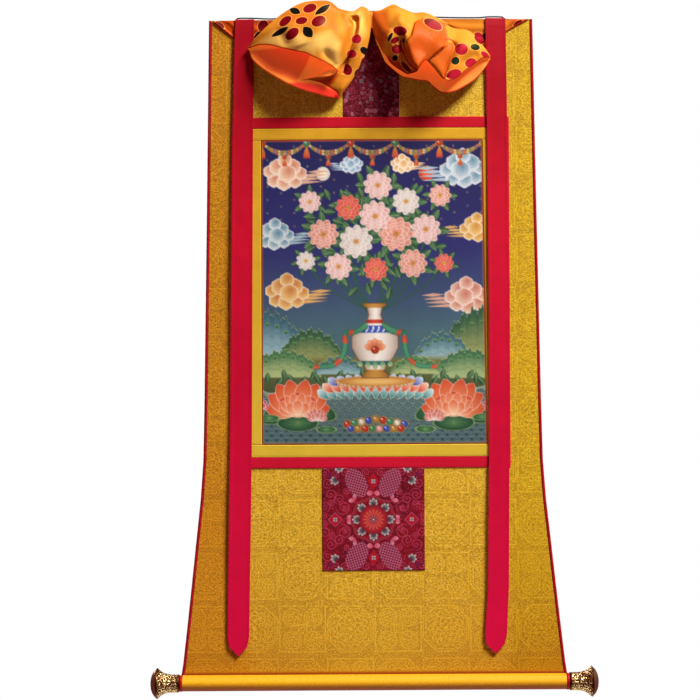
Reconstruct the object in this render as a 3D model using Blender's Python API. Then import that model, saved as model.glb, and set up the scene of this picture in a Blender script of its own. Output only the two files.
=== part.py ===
"""A hanging scroll painting on a brocade mount, built as it is made.

The brocade panel hangs from its top edge and ends in a sleeve round a wooden
rod with a cast knob on each end. Red and gold strips frame the painting, two
ribbons hang in front, and the silk cover is gathered up in two pouches at
the top.

Frame: metres, +Z up, front towards -Y. The origin is the middle of the
panel's top edge, which holds the whole scroll up.
"""
import math

import bmesh
import bpy
from mathutils import Vector

MM = 0.001

# Driving sizes, in millimetres.
CLEARANCE = 0.3             # between pieces that touch
PANEL_THICKNESS = 2.0
BOW = 7.0                   # the middle of the hung panel stands this far forward
BOW_FADES = (-250.0, -860.0)    # heights between which the bow dies out
ROD_HEIGHT = -899.0         # axis of the rod below the top edge
SLEEVE_RADIUS = 10.9        # outside of the brocade round the rod
SLEEVE_END = 320.0          # degrees of wrap, from the back down and round
ROD_RADIUS = 7.9
PIPING_WIDTH = 4.4
PIPING_THICKNESS = 3.0
PIPING_END = 308.0
APPLIQUE_THICKNESS = 1.0    # frame strips, painting and brocade patches
RIBBON_THICKNESS = 1.0
RIBBON_DEPTH = 4.0          # its middle in front of the panel's face, at the top
RIBBON_DROOP = 3.5          # how much further it stands off once it hangs free
RIBBON_FREE = (-330.0, -90.0)   # heights between which it comes away
VEIL_THICKNESS = 1.2
CORD_DIAMETER = 2.0

# Half width of the whole scroll with its piping, by height.
OUTLINE = (
    # height, half width
    (0, 220), (-244, 224), (-516, 229), (-598, 231), (-652, 235),
    (-706, 241), (-761, 247), (-815, 253), (-875, 260), (-899, 264),
)

# Painting and frame: heights of the seams and half widths.
RED_TOP, RED_INNER_TOP = -132.5, -147.7
PAINTING_TOP, PAINTING_BOTTOM = -163.5, -577.0
RED_INNER_BOTTOM, RED_BOTTOM = -594.0, -609.0
RED_HALF_WIDTH, GOLD_HALF_WIDTH = 187.0, 172.0
PAINTING_LEFT, PAINTING_RIGHT = (-150.0, -151.0), (150.5, 155.5)   # at its top, at its bottom
UPPER_PATCH_HALF_WIDTH = 38.0
LOWER_PATCH_HALF_WIDTH = 69.5
LOWER_PATCH_BOTTOM = -748.5

# Ribbon edges by height, then the height of each corner and of the point.
RIBBON_LEFT = (
    # height, left edge, right edge
    (-4, -184, -158), (-163, -189, -160.5), (-584, -194.5, -164.5), (-851, -199.5, -170),
)
RIBBON_RIGHT = (
    (-4, 155.5, 183), (-380, 158, 186.5), (-600, 157, 185), (-770, 155, 183.5), (-849, 150, 180),
)
RIBBON_POINT = 12.0

# Sections of the gathered cover. Each row is one station along the fold on
# which the cloth turns over. Columns: the fold (x, z, depth in front of the
# panel), the belly of the front layer (depth), the front hem (x, z, depth)
# and the back hem (x, z, depth).
LEFT_POUCH = (
    (-167, -39, 9, 10.5, -165, -40, 11, -165, -42, 7.5),
    (-146, -16, 12, 17, -151, -37, 18, -160, -56, 12),
    (-119, 6, 13, 25, -135, -39, 27, -148, -68, 17),
    (-93, 20, 13, 32, -116, -45, 34, -134, -78, 21),
    (-68, 23, 13, 38, -97, -50, 38, -121, -86, 24),
    (-54, 21, 13, 40, -88, -52, 40, -114, -90, 25),
    (-42, 12, 12, 39, -78, -57, 40, -107, -93, 25),
    (-24, 9, 10, 35, -60, -65, 37, -97, -97, 24),
    (-12, 15, 10, 31, -50, -70, 33, -88, -100, 22),
    (-2, 8, 10, 28, -46, -76, 29, -81, -102, 20),
    (0, -15, 10, 24, -54, -81, 26, -75, -103, 18),
    (-7, -47, 10, 20, -83, -84, 23, -64, -106, 15),
    (-22, -77, 10, 18, -102, -88, 21, -54, -108, 13),
    (-30, -90, 10, 15, -84, -92, 18, -50, -108, 11),
    (-43, -107, 8, 10.5, -46, -105, 12, -43, -109, 8),
)
RIGHT_POUCH = (
    (15, -46, 9, 11, 17, -48, 13, 16, -51, 8),
    (10, -35, 10, 14, 20, -53, 16, 18, -56, 10),
    (4, -22, 10, 17, 25, -62, 21, 20, -61, 12),
    (2, -8, 10, 21, 32, -69, 25, 26, -68, 15),
    (3, 7, 11, 28, 47, -79, 30, 41, -81, 19),
    (14, 10, 12, 31, 52, -79, 34, 49, -84, 21),
    (24, 15, 13, 34, 57, -78, 37, 58, -86, 22),
    (32, 17, 13, 38, 61, -77, 40, 68, -88, 23),
    (42, 12, 13, 38, 65, -72, 40, 76, -89, 23),
    (58, 6, 13, 36, 73, -63, 37, 88, -96, 23),
    (73, 6, 13, 35, 83, -72, 37, 96, -101, 22),
    (92, -2, 13, 36, 96, -87, 38, 109, -101, 21),
    (112, -12, 13, 34, 110, -88, 34, 125, -95, 18),
    (135, -20, 12, 28, 129, -73, 27, 141, -84, 13),
    (152, -39, 10.5, 18, 150, -57, 18, 154, -69, 9.5),
    (162, -53, 9.5, 11, 161, -55, 11.5, 161, -57, 7.5),
)
# Creases pressed into the front layers: the two ends of each, how far it
# stands forward of the cloth round it (negative for a trough) and its width.
CREASES = (
    # x, z, x, z, forward, width
    (-27, -4, -43, -70, -9, 7), (-14, 0, -31, -76, 4, 9), (-57, -10, -47, -62, 4, 10),
    (-35, 8, -20, -6, -4, 5), (-118, -4, -96, -44, 2.5, 14),
    (66, 4, 44, -36, -9, 7), (44, -36, 60, -70, -8, 6), (24, 12, 34, -40, 5, 9),
    (80, -8, 66, -66, 6, 12), (62, -68, 104, -31, -4, 6), (107, -34, 97, -82, -6, 6),
    (102, -40, 96, -72, 4, 6), (96, -14, 150, -22, -4, 6),
)
# The part of the cover that lies flat along the top edge: its lower edge.
VEIL_EDGE = (
    # x, height
    (-214.8, -1.5), (-182, -28), (-158, -45), (-132, -48), (-60, -46), (-32, -36), (-16, -18),
    (0, -10), (15, -20), (32, -38), (100, -42), (156, -40), (184, -18), (214, -1.5),
)
# Hidden tacks that hold each pouch to that flat part, and how far out they reach.
TACKS = ((-95, -26), (-62, -18), (68, -24), (114, -30))
TACK_DEPTH = 13.5

# Route of the hanging cord: over the top edge, up to where it is hung from.
CORD_ROUTE = (
    # x, y, height
    (-183, 4.9, -10), (-183, 4.9, -2), (-182, 3.8, 4.4), (-176, 1.6, 6.4), (-169, 0.8, 5.6),
    (-158, 0.6, 4.2), (-132, 0.4, 2.6), (-105, 0, 6), (-78, -0.4, 9.5), (-50, -0.6, 11.5),
    (-27, -0.8, 12.5), (-13, -1, 14.5), (0, -1, 16.5), (15, -1, 16), (28, -0.8, 14),
    (40, -0.6, 10.5), (54, -0.4, 8), (72, 0, 6.5), (92, 0.4, 4.6), (125, 0.6, 2.8),
    (148, 0.6, 3.6), (160, 0.8, 5.8), (167, 1.2, 6.6), (175, 2.2, 6.2), (180, 4.0, 4.2),
    (181, 4.9, -2), (181, 4.9, -10),
)

# Turned profile of a knob: distance out from the sleeve, radius.
KNOB_PROFILE = (
    (0, 11.2), (1.5, 11.8), (12, 12.1), (19, 13.2), (24, 15.0), (28, 17.9), (30.5, 20.4),
    (32.5, 20.6), (34.5, 19.2), (37, 15.5), (39, 9.5), (40.2, 0.0),
)
KNOB_BORE_DEPTH = 14.0


def material(name, colour, roughness, metallic=0.0):
    """Make a Principled material from a linear colour."""
    made = bpy.data.materials.new(name)
    made.use_nodes = True
    shader = made.node_tree.nodes["Principled BSDF"]
    shader.inputs["Base Color"].default_value = (*colour, 1.0)
    shader.inputs["Roughness"].default_value = roughness
    shader.inputs["Metallic"].default_value = metallic
    return made


def add_object(name, mesh, made_of):
    """Link a new object with one material and smooth shading."""
    mesh.materials.append(made_of)
    mesh.shade_smooth()
    mesh.set_sharp_from_angle(angle=math.radians(40))
    thing = bpy.data.objects.new(name, mesh)
    bpy.context.scene.collection.objects.link(thing)
    return thing


def ramp(low, high, value):
    """Smooth step from 0 at low to 1 at high."""
    share = min(max((value - low) / (high - low), 0.0), 1.0)
    return share * share * (3.0 - 2.0 * share)


def table_at(table, key):
    """Read a table by its first column, in straight runs between its rows."""
    rows = sorted(table)
    key = min(max(key, rows[0][0]), rows[-1][0])
    for low, high in zip(rows, rows[1:]):
        if key <= high[0]:
            share = (key - low[0]) / (high[0] - low[0])
            return [a + (b - a) * share for a, b in zip(low[1:], high[1:])]
    return list(rows[-1][1:])


def smooth_run(rows, steps):
    """Catmull-Rom curve through rows of numbers, with so many steps in all."""
    rows = [tuple(row) for row in rows]
    padded = [rows[0]] + rows + [rows[-1]]
    found = []
    for step in range(steps + 1):
        place = step / steps * (len(rows) - 1)
        first = min(int(place), len(rows) - 2)
        t = place - first
        p0, p1, p2, p3 = padded[first:first + 4]
        found.append(tuple(
            0.5 * (2 * b + (c - a) * t + (2 * a - 5 * b + 4 * c - d) * t * t
                   + (3 * b - a - 3 * c + d) * t ** 3)
            for a, b, c, d in zip(p0, p1, p2, p3)))
    return found


def hang(x, z):
    """Y of the hung panel's front face: a slight bow that dies out at the rod."""
    half = table_at(OUTLINE, z)[0]
    return -BOW * (1.0 - min(x / half, 1.0) ** 2) * ramp(BOW_FADES[1], BOW_FADES[0], z)


def cloth(name, grid, thickness, made_of):
    """Sheet of cloth: a grid of points (x, y, z in mm) given a thickness."""
    rows, columns = len(grid), len(grid[0])
    points = [Vector(point) * MM for row in grid for point in row]
    faces = []
    for i in range(rows - 1):
        for j in range(columns - 1):
            a = i * columns + j
            faces.append((a, a + 1, a + columns + 1, a + columns))
    mesh = bpy.data.meshes.new(name)
    mesh.from_pydata(points, [], faces)
    sheet = add_object(name, mesh, made_of)
    solidify = sheet.modifiers.new("thickness", "SOLIDIFY")
    solidify.thickness = thickness * MM
    solidify.offset = 0.0
    return sheet


def hung_piece(name, top, bottom, cells, made_of, thickness=APPLIQUE_THICKNESS):
    """Four-sided piece sewn flat on the panel.

    top and bottom are (left x, right x, height); cells are (across, down).
    """
    across, down = cells
    grid = []
    for i in range(down + 1):
        left, right, z = (a + (b - a) * i / down for a, b in zip(top, bottom))
        row = []
        for j in range(across + 1):
            x = left + (right - left) * j / across
            row.append((x, hang(x, z) - CLEARANCE - thickness / 2, z))
        grid.append(row)
    return cloth(name, grid, thickness, made_of)


def sleeve_path(depth_radius, last_degrees, steps):
    """(y, z) points of the sleeve's wrap round the rod, from its back downwards."""
    centre_y = PANEL_THICKNESS - SLEEVE_RADIUS
    path = []
    for step in range(1, steps + 1):
        turn = math.radians(last_degrees * step / steps)
        path.append((centre_y + depth_radius * math.cos(turn),
                     ROD_HEIGHT - depth_radius * math.sin(turn)))
    return path


def brocade_panel(made_of):
    """The whole mount: flat cloth down to the rod, then the sleeve round it."""
    middle = PANEL_THICKNESS / 2
    inset = PIPING_WIDTH + CLEARANCE
    path = [(None, z) for z in (0, -50, -110, -180, -250, -330, -410, -490, -560, -610,
                                -660, -710, -760, -810, -860, ROD_HEIGHT)]
    path += sleeve_path(SLEEVE_RADIUS - middle, SLEEVE_END, 18)
    across = 14
    grid = []
    for y, z in path:
        half = (table_at(OUTLINE, z)[0] if y is None else OUTLINE[-1][1]) - inset
        row = []
        for j in range(across + 1):
            x = half * (2 * j / across - 1)
            row.append((x, hang(x, z) + middle if y is None else y, z))
        grid.append(row)
    return cloth("brocade_panel", grid, PANEL_THICKNESS, made_of)


def piping(name, side, made_of):
    """Rounded cord-filled edging down one side and round the sleeve's end."""
    middle = PANEL_THICKNESS / 2
    path = [(None, z) for z in (0, -60, -120, -180, -250, -320, -400, -480, -560, -610,
                                -660, -710, -760, -810, -860, ROD_HEIGHT)]
    path += sleeve_path(SLEEVE_RADIUS - middle, PIPING_END, 20)
    centres = []
    for y, z in path:
        half = (table_at(OUTLINE, z)[0] if y is None else OUTLINE[-1][1]) - PIPING_WIDTH / 2
        centres.append(Vector((side * half, middle if y is None else y, z)))
    mesh_builder = bmesh.new()
    rings = []
    for i, centre in enumerate(centres):
        along = (centres[min(i + 1, len(centres) - 1)] - centres[max(i - 1, 0)])
        along.x = 0.0
        out = Vector((1, 0, 0)).cross(along).normalized()
        ring = []
        for k in range(8):
            turn = math.tau * (k + 0.5) / 8
            point = (centre + Vector((1, 0, 0)) * math.cos(turn) * PIPING_WIDTH / 2 / math.cos(math.pi / 8)
                     + out * math.sin(turn) * PIPING_THICKNESS / 2 / math.cos(math.pi / 8))
            ring.append(mesh_builder.verts.new(point * MM))
        rings.append(ring)
    for near, far in zip(rings, rings[1:]):
        for k in range(8):
            mesh_builder.faces.new((near[k], near[(k + 1) % 8], far[(k + 1) % 8], far[k]))
    mesh_builder.faces.new(rings[0])
    mesh_builder.faces.new(rings[-1])
    bmesh.ops.recalc_face_normals(mesh_builder, faces=mesh_builder.faces)
    mesh = bpy.data.meshes.new(name)
    mesh_builder.to_mesh(mesh)
    mesh_builder.free()
    return add_object(name, mesh, made_of)


def ribbon(name, edges, made_of):
    """Flat ribbon turned over the top edge, hanging free, with a pointed end."""
    last = min(edge[0] for edge in edges)
    drop = [(2.9, -12), (2.9, -1), (2.2, 1.0), (0.6, 1.6), (-1.3, 1.2), (-2.4, 0), (-2.8, -3),
            (-3.4, -9)]
    drop += [(-RIBBON_DEPTH - 0.35 * math.sin(z / 47) - RIBBON_DROOP * (1 - ramp(*RIBBON_FREE, z)), z)
             for z in (-20, -60, -110, -160, -220, -280, -340, -400, -460, -520, -580, -640,
                       -700, -760, -810, last)]
    grid = []
    for y, z in drop:
        left, right = table_at(edges, z)
        row = []
        for j in range(3):
            x = left + (right - left) * j / 2
            point = RIBBON_POINT * (1 - abs(j - 1)) if z == last else 0.0
            row.append((x, hang(x, z) + y, z - point))
        grid.append(row)
    return cloth(name, grid, RIBBON_THICKNESS, made_of)


def crease_depth(x, z):
    """How far the pressed creases move the front layer forward at a place."""
    total = 0.0
    for x0, z0, x1, z1, forward, width in CREASES:
        run = Vector((x1 - x0, z1 - z0))
        reach = Vector((x - x0, z - z0))
        share = min(max(reach.dot(run) / run.length_squared, 0.0), 1.0)
        away = (reach - run * share).length / width
        total += forward * math.exp(-away * away)
    return total


def pouch(name, rows, stations, made_of):
    """One gathered pouch: the cloth hangs from its fold in a back and a front layer."""
    layers = 20
    grid = []
    for row in smooth_run(rows, stations):
        fold, belly = Vector(row[0:3]), row[3]
        front, back = Vector(row[4:7]), Vector(row[7:10])
        turn = min(3.5, 0.8 + 0.15 * (fold - back).length)
        back_middle = (fold + back) / 2
        back_middle.z = min(back.z, fold.z) - 0.4
        front_middle = (fold + front) / 2
        front_middle.z = belly
        section = [back, back_middle, fold.lerp(back, 0.12), fold, fold.lerp(front, 0.12),
                   front_middle, front]
        section[2].z = fold.z - turn
        section[4].z = fold.z + turn * 1.3
        line = []
        for step, (x, z, depth) in enumerate(smooth_run(section, layers)):
            front_share = ramp(0.55, 0.8, step / layers) * ramp(0, 40, (fold - front).length)
            depth += crease_depth(x, z) * front_share
            line.append((x, hang(x, z) - depth, z))
        grid.append(line)
    return cloth(name, grid, VEIL_THICKNESS, made_of)


def flat_cover(made_of):
    """The cover's flat part along the top edge, over the upper brocade patch."""
    grid = []
    for x, low in smooth_run(VEIL_EDGE, 36):
        over_patch = APPLIQUE_THICKNESS + CLEARANCE
        lift = over_patch * (1 - ramp(UPPER_PATCH_HALF_WIDTH + 6, UPPER_PATCH_HALF_WIDTH + 26, abs(x)))
        depth = CLEARANCE + VEIL_THICKNESS / 2 + lift
        line = []
        for step in range(4):
            z = -0.4 + (min(low, -1.4) + 0.4) * step / 3
            line.append((x, hang(x, z) - depth, z))
        grid.append(line)
    return cloth("cover_flat", grid, VEIL_THICKNESS, made_of)


def tack(name, x, z, made_of):
    """Short stitch bar from the flat part to a pouch's back layer."""
    mesh_builder = bmesh.new()
    near, far = hang(x, z) - CLEARANCE - VEIL_THICKNESS / 2, hang(x, z) - TACK_DEPTH
    bmesh.ops.create_cone(mesh_builder, cap_ends=True, segments=10, radius1=3 * MM,
                          radius2=3 * MM, depth=(near - far) * MM)
    bmesh.ops.rotate(mesh_builder, verts=mesh_builder.verts, cent=(0, 0, 0),
                     matrix=Vector((0, 0, 1)).rotation_difference((0, 1, 0)).to_matrix())
    bmesh.ops.translate(mesh_builder, verts=mesh_builder.verts,
                        vec=Vector((x, (near + far) / 2, z)) * MM)
    mesh = bpy.data.meshes.new(name)
    mesh_builder.to_mesh(mesh)
    mesh_builder.free()
    return add_object(name, mesh, made_of)


def gathered_cover(made_of):
    """The silk cover as one cloth: two pouches joined through the flat part."""
    cover = pouch("silk_cover", LEFT_POUCH, 38, made_of)
    others = [pouch("cover_right_pouch", RIGHT_POUCH, 42, made_of), flat_cover(made_of)]
    others += [tack(f"cover_tack_{i}", x, z, made_of) for i, (x, z) in enumerate(TACKS, 1)]
    order = [others[-4], others[-3], others[1], others[-2], others[-1], others[0]]
    for other in order:
        join = cover.modifiers.new(f"join {other.name}", "BOOLEAN")
        join.operation = "UNION"
        join.object = other
        other.hide_render = True
        other.display_type = "WIRE"
    return cover


def hanging_cord(made_of):
    """Thin cord sewn behind the top edge near each ribbon and led over it."""
    curve = bpy.data.curves.new("hanging_cord", "CURVE")
    curve.dimensions = "3D"
    curve.bevel_depth = CORD_DIAMETER / 2 * MM
    curve.bevel_resolution = 2
    curve.use_fill_caps = True
    route = smooth_run(CORD_ROUTE, 76)
    spline = curve.splines.new("POLY")
    spline.points.add(len(route) - 1)
    for point, (x, y, z) in zip(spline.points, route):
        point.co = (x * MM, (hang(x, min(z, 0)) + y) * MM, z * MM, 1)
    curve.materials.append(made_of)
    cord = bpy.data.objects.new("hanging_cord", curve)
    bpy.context.scene.collection.objects.link(cord)
    return cord


def rod(made_of):
    """Round wooden rod in the sleeve, its ends inside the knobs."""
    half = OUTLINE[-1][1] + KNOB_BORE_DEPTH
    mesh_builder = bmesh.new()
    bmesh.ops.create_cone(mesh_builder, cap_ends=True, segments=24, radius1=ROD_RADIUS * MM,
                          radius2=ROD_RADIUS * MM, depth=2 * half * MM)
    mesh = bpy.data.meshes.new("rod")
    mesh_builder.to_mesh(mesh)
    mesh_builder.free()
    bar = add_object("rod", mesh, made_of)
    bar.rotation_euler = (0, math.pi / 2, 0)
    bar.location = (0, (PANEL_THICKNESS - SLEEVE_RADIUS) * MM, ROD_HEIGHT * MM)
    return bar


def knob(name, side, made_of):
    """Cast knob turned about X: flared, with a domed end and a bore for the rod."""
    bore = ROD_RADIUS + CLEARANCE
    profile = [(KNOB_BORE_DEPTH, 0.0), (KNOB_BORE_DEPTH, bore), (0.0, bore)] + list(KNOB_PROFILE)
    mesh_builder = bmesh.new()
    points = [mesh_builder.verts.new((s * side * MM, 0, r * MM)) for s, r in profile]
    edges = [mesh_builder.edges.new(pair) for pair in zip(points, points[1:])]
    bmesh.ops.spin(mesh_builder, geom=points + edges, cent=(0, 0, 0), axis=(1, 0, 0),
                   angle=math.tau, steps=24, use_merge=True)
    bmesh.ops.remove_doubles(mesh_builder, verts=mesh_builder.verts, dist=0.00001)
    bmesh.ops.recalc_face_normals(mesh_builder, faces=mesh_builder.faces)
    mesh = bpy.data.meshes.new(name)
    mesh_builder.to_mesh(mesh)
    mesh_builder.free()
    turned = add_object(name, mesh, made_of)
    turned.location = (side * (OUTLINE[-1][1] + CLEARANCE) * MM,
                       (PANEL_THICKNESS - SLEEVE_RADIUS) * MM, ROD_HEIGHT * MM)
    return turned


for old in list(bpy.data.objects):
    bpy.data.objects.remove(old)

gold_brocade = material("gold_brocade", (0.62, 0.36, 0.03), 0.45)
plain_gold = material("plain_gold_silk", (0.68, 0.40, 0.03), 0.45)
red_silk = material("red_silk", (0.50, 0.01, 0.03), 0.5)
red_piping = material("red_piping", (0.42, 0.01, 0.02), 0.5)
red_brocade = material("red_brocade", (0.20, 0.01, 0.02), 0.5)
canvas = material("painted_canvas", (0.10, 0.16, 0.22), 0.7)
ribbon_silk = material("crimson_ribbon", (0.55, 0.01, 0.04), 0.45)
cover_silk = material("orange_silk", (0.80, 0.28, 0.03), 0.35)
black_cord = material("black_cord", (0.02, 0.015, 0.015), 0.7)
wood = material("wooden_rod", (0.35, 0.20, 0.10), 0.6)
brass = material("antique_brass", (0.55, 0.36, 0.13), 0.35, 1.0)

brocade_panel(gold_brocade)
piping("piping_left", -1, red_piping)
piping("piping_right", 1, red_piping)

GAP = CLEARANCE / 2
hung_piece("upper_brocade_patch", (-UPPER_PATCH_HALF_WIDTH, UPPER_PATCH_HALF_WIDTH, -0.4),
           (-UPPER_PATCH_HALF_WIDTH, UPPER_PATCH_HALF_WIDTH, RED_TOP + GAP), (3, 3), red_brocade)
hung_piece("lower_brocade_patch", (-LOWER_PATCH_HALF_WIDTH, LOWER_PATCH_HALF_WIDTH, RED_BOTTOM - GAP),
           (-LOWER_PATCH_HALF_WIDTH, LOWER_PATCH_HALF_WIDTH, LOWER_PATCH_BOTTOM), (5, 5), red_brocade)

hung_piece("red_frame_top", (-RED_HALF_WIDTH, RED_HALF_WIDTH, RED_TOP - GAP),
           (-RED_HALF_WIDTH, RED_HALF_WIDTH, RED_INNER_TOP + GAP), (12, 1), red_silk)
hung_piece("red_frame_bottom", (-RED_HALF_WIDTH, RED_HALF_WIDTH, RED_INNER_BOTTOM - GAP),
           (-RED_HALF_WIDTH, RED_HALF_WIDTH, RED_BOTTOM + GAP), (12, 1), red_silk)
hung_piece("gold_frame_top", (-GOLD_HALF_WIDTH, GOLD_HALF_WIDTH, RED_INNER_TOP - GAP),
           (-GOLD_HALF_WIDTH, GOLD_HALF_WIDTH, PAINTING_TOP + GAP), (12, 1), plain_gold)
hung_piece("gold_frame_bottom", (-GOLD_HALF_WIDTH, GOLD_HALF_WIDTH, PAINTING_BOTTOM - GAP),
           (-GOLD_HALF_WIDTH, GOLD_HALF_WIDTH, RED_INNER_BOTTOM + GAP), (12, 1), plain_gold)
hung_piece("painting", (PAINTING_LEFT[0] + GAP, PAINTING_RIGHT[0] - GAP, PAINTING_TOP - GAP),
           (PAINTING_LEFT[1] + GAP, PAINTING_RIGHT[1] - GAP, PAINTING_BOTTOM + GAP), (10, 12), canvas)
hung_piece("red_frame_left", (-RED_HALF_WIDTH, -GOLD_HALF_WIDTH - GAP, RED_INNER_TOP - GAP),
           (-RED_HALF_WIDTH, -GOLD_HALF_WIDTH - GAP, RED_INNER_BOTTOM + GAP), (1, 12), red_silk)
hung_piece("red_frame_right", (GOLD_HALF_WIDTH + GAP, RED_HALF_WIDTH, RED_INNER_TOP - GAP),
           (GOLD_HALF_WIDTH + GAP, RED_HALF_WIDTH, RED_INNER_BOTTOM + GAP), (1, 12), red_silk)
hung_piece("gold_frame_left", (-GOLD_HALF_WIDTH + GAP, PAINTING_LEFT[0] - GAP, PAINTING_TOP - GAP),
           (-GOLD_HALF_WIDTH + GAP, PAINTING_LEFT[1] - GAP, PAINTING_BOTTOM + GAP), (1, 12), plain_gold)
hung_piece("gold_frame_right", (PAINTING_RIGHT[0] + GAP, GOLD_HALF_WIDTH - GAP, PAINTING_TOP - GAP),
           (PAINTING_RIGHT[1] + GAP, GOLD_HALF_WIDTH - GAP, PAINTING_BOTTOM + GAP), (1, 12), plain_gold)

ribbon("ribbon_left", RIBBON_LEFT, ribbon_silk)
ribbon("ribbon_right", RIBBON_RIGHT, ribbon_silk)
gathered_cover(cover_silk)
hanging_cord(black_cord)
rod(wood)
knob("knob_left", -1, brass)
knob("knob_right", 1, brass)
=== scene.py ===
"""Looks of the hanging scroll painting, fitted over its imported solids."""
import math

import bmesh
import bpy
import numpy as np
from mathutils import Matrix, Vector


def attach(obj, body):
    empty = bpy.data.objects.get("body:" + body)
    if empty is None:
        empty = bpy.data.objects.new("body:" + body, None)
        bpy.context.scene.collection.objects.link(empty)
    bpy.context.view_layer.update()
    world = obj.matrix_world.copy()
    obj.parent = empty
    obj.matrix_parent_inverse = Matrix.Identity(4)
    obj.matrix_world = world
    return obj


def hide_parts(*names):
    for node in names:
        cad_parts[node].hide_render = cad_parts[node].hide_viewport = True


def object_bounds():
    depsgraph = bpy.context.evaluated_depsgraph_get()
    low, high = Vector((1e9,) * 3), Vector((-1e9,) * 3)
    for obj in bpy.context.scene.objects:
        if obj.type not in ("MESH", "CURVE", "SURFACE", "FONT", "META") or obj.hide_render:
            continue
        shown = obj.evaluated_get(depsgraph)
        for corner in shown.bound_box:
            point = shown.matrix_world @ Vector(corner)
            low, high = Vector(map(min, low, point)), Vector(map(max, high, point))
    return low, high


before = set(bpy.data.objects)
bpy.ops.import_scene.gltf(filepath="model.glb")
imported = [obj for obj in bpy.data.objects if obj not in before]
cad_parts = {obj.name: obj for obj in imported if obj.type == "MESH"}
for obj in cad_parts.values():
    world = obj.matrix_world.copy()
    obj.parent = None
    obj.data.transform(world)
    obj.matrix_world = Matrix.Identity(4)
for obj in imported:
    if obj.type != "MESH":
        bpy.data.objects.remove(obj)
cad_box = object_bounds()

# ---- Where it hangs -------------------------------------------------------
# The scroll hangs free in a white studio. A soft light stands high in front
# and to the right, weaker ones to the left and behind, and the floor is pale
# paper.
CAMERA_AT, CAMERA_ROLL, CAMERA_LENS = (-0.0306, -2.380, -0.4486), 0.33, 90.0
FLOOR_DROP, FLOOR_RADIUS, FLOOR_SIDES, FLOOR_WHITE = 1.20, 1.3, 64, 0.92
# How strongly the room lights the scroll, how bright it shows behind, and its colour on the scroll.
ROOM_LIGHT, ROOM_WHITE, ROOM_TINT = 0.12, 1.0, (0.95, 0.22, 0.4, 1.0)
LIGHT_SIDE, LIGHTS_AIM = 1.8, (0.0, 0.0, -0.45)
LIGHTS = (
    # name, place, power, colour
    ("key_high_right", (3.2, -2.4, 4.6), 960.0, (1.0, 1.0, 1.0)),
    ("fill_left", (-1.2, -2.8, -0.3), 3.0, (1.0, 0.4, 0.3)),
    ("wash_behind", (-1.2, 2.6, 0.6), 40.0, (1.0, 1.0, 1.0)),
)

camera_data = bpy.data.cameras.new("camera")
camera_data.lens, camera_data.sensor_width = CAMERA_LENS, 36.0
camera = bpy.data.objects.new("camera", camera_data)
camera.location = CAMERA_AT
camera.rotation_euler = (math.radians(90), math.radians(CAMERA_ROLL), 0)
bpy.context.scene.collection.objects.link(camera)
bpy.context.scene.camera = camera
bpy.context.scene.view_settings.view_transform = "Standard"

for name, place, power, colour in LIGHTS:
    lamp = bpy.data.lights.new(name, "AREA")
    lamp.shape, lamp.size, lamp.energy, lamp.color = "SQUARE", LIGHT_SIDE, power, colour
    stand = bpy.data.objects.new(name, lamp)
    stand.location = place
    stand.rotation_euler = (Vector(LIGHTS_AIM) - Vector(place)).to_track_quat("-Z", "Y").to_euler()
    stand.visible_camera = False
    bpy.context.scene.collection.objects.link(stand)

room = bpy.data.worlds.new("studio")
room.use_nodes = True
nodes, links = room.node_tree.nodes, room.node_tree.links
seen = nodes.new("ShaderNodeLightPath").outputs["Is Camera Ray"]
level, tint = nodes.new("ShaderNodeMapRange"), nodes.new("ShaderNodeMix")
level.inputs["To Min"].default_value, level.inputs["To Max"].default_value = ROOM_LIGHT, ROOM_WHITE
tint.data_type = "RGBA"
tint.inputs[6].default_value, tint.inputs[7].default_value = ROOM_TINT, (1, 1, 1, 1)
links.new(seen, level.inputs["Value"])
links.new(seen, tint.inputs[0])
links.new(level.outputs["Result"], nodes["Background"].inputs["Strength"])
links.new(tint.outputs[2], nodes["Background"].inputs["Color"])
bpy.context.scene.world = room

turn = np.linspace(0, math.tau, FLOOR_SIDES, endpoint=False)
floor_mesh = bpy.data.meshes.new("floor")
floor_mesh.from_pydata(np.stack([FLOOR_RADIUS * np.cos(turn), FLOOR_RADIUS * np.sin(turn),
                                 0 * turn + cad_box[0][2] - FLOOR_DROP], 1).tolist(),
                       [], [tuple(range(FLOOR_SIDES))])
paper = bpy.data.materials.new("floor_paper")
paper.use_nodes = True
paper_shader = paper.node_tree.nodes["Principled BSDF"]
paper_shader.inputs["Base Color"].default_value = (FLOOR_WHITE, FLOOR_WHITE, FLOOR_WHITE, 1)
paper_shader.inputs["Roughness"].default_value = 0.9
floor_mesh.materials.append(paper)
floor = bpy.data.objects.new("floor", floor_mesh)
bpy.context.scene.collection.objects.link(floor)

# ---- Brocade panel --------------------------------------------------------
# The mount is one width of yellow silk damask, woven tone on tone with linked
# octagons, roundels and a fine fret. It is lined with plain silk, hangs from
# its top edge in a slight bow, and ends in a sleeve round the rod.
OUTLINE = (
    # height, half width with the piping
    (0, 220), (-244, 224), (-516, 229), (-598, 231), (-652, 235),
    (-706, 241), (-761, 247), (-815, 253), (-875, 260), (-899, 264),
)
MM = 0.001                              # metres in a millimetre; sizes are in millimetres from here
FOOT_HALF = OUTLINE[-1][1]
BOW, BOW_FADES = 7.0, (-860.0, -250.0)
PANEL_THICKNESS, PIPING_WIDTH, CLEARANCE = 2.0, 4.4, 0.3
ROD_HEIGHT, SLEEVE_RADIUS, SLEEVE_TURN = -899.0, 10.9, 320.0
FACE_ROWS, SLEEVE_ROWS, PANEL_COLUMNS = 171, 64, 101
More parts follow.
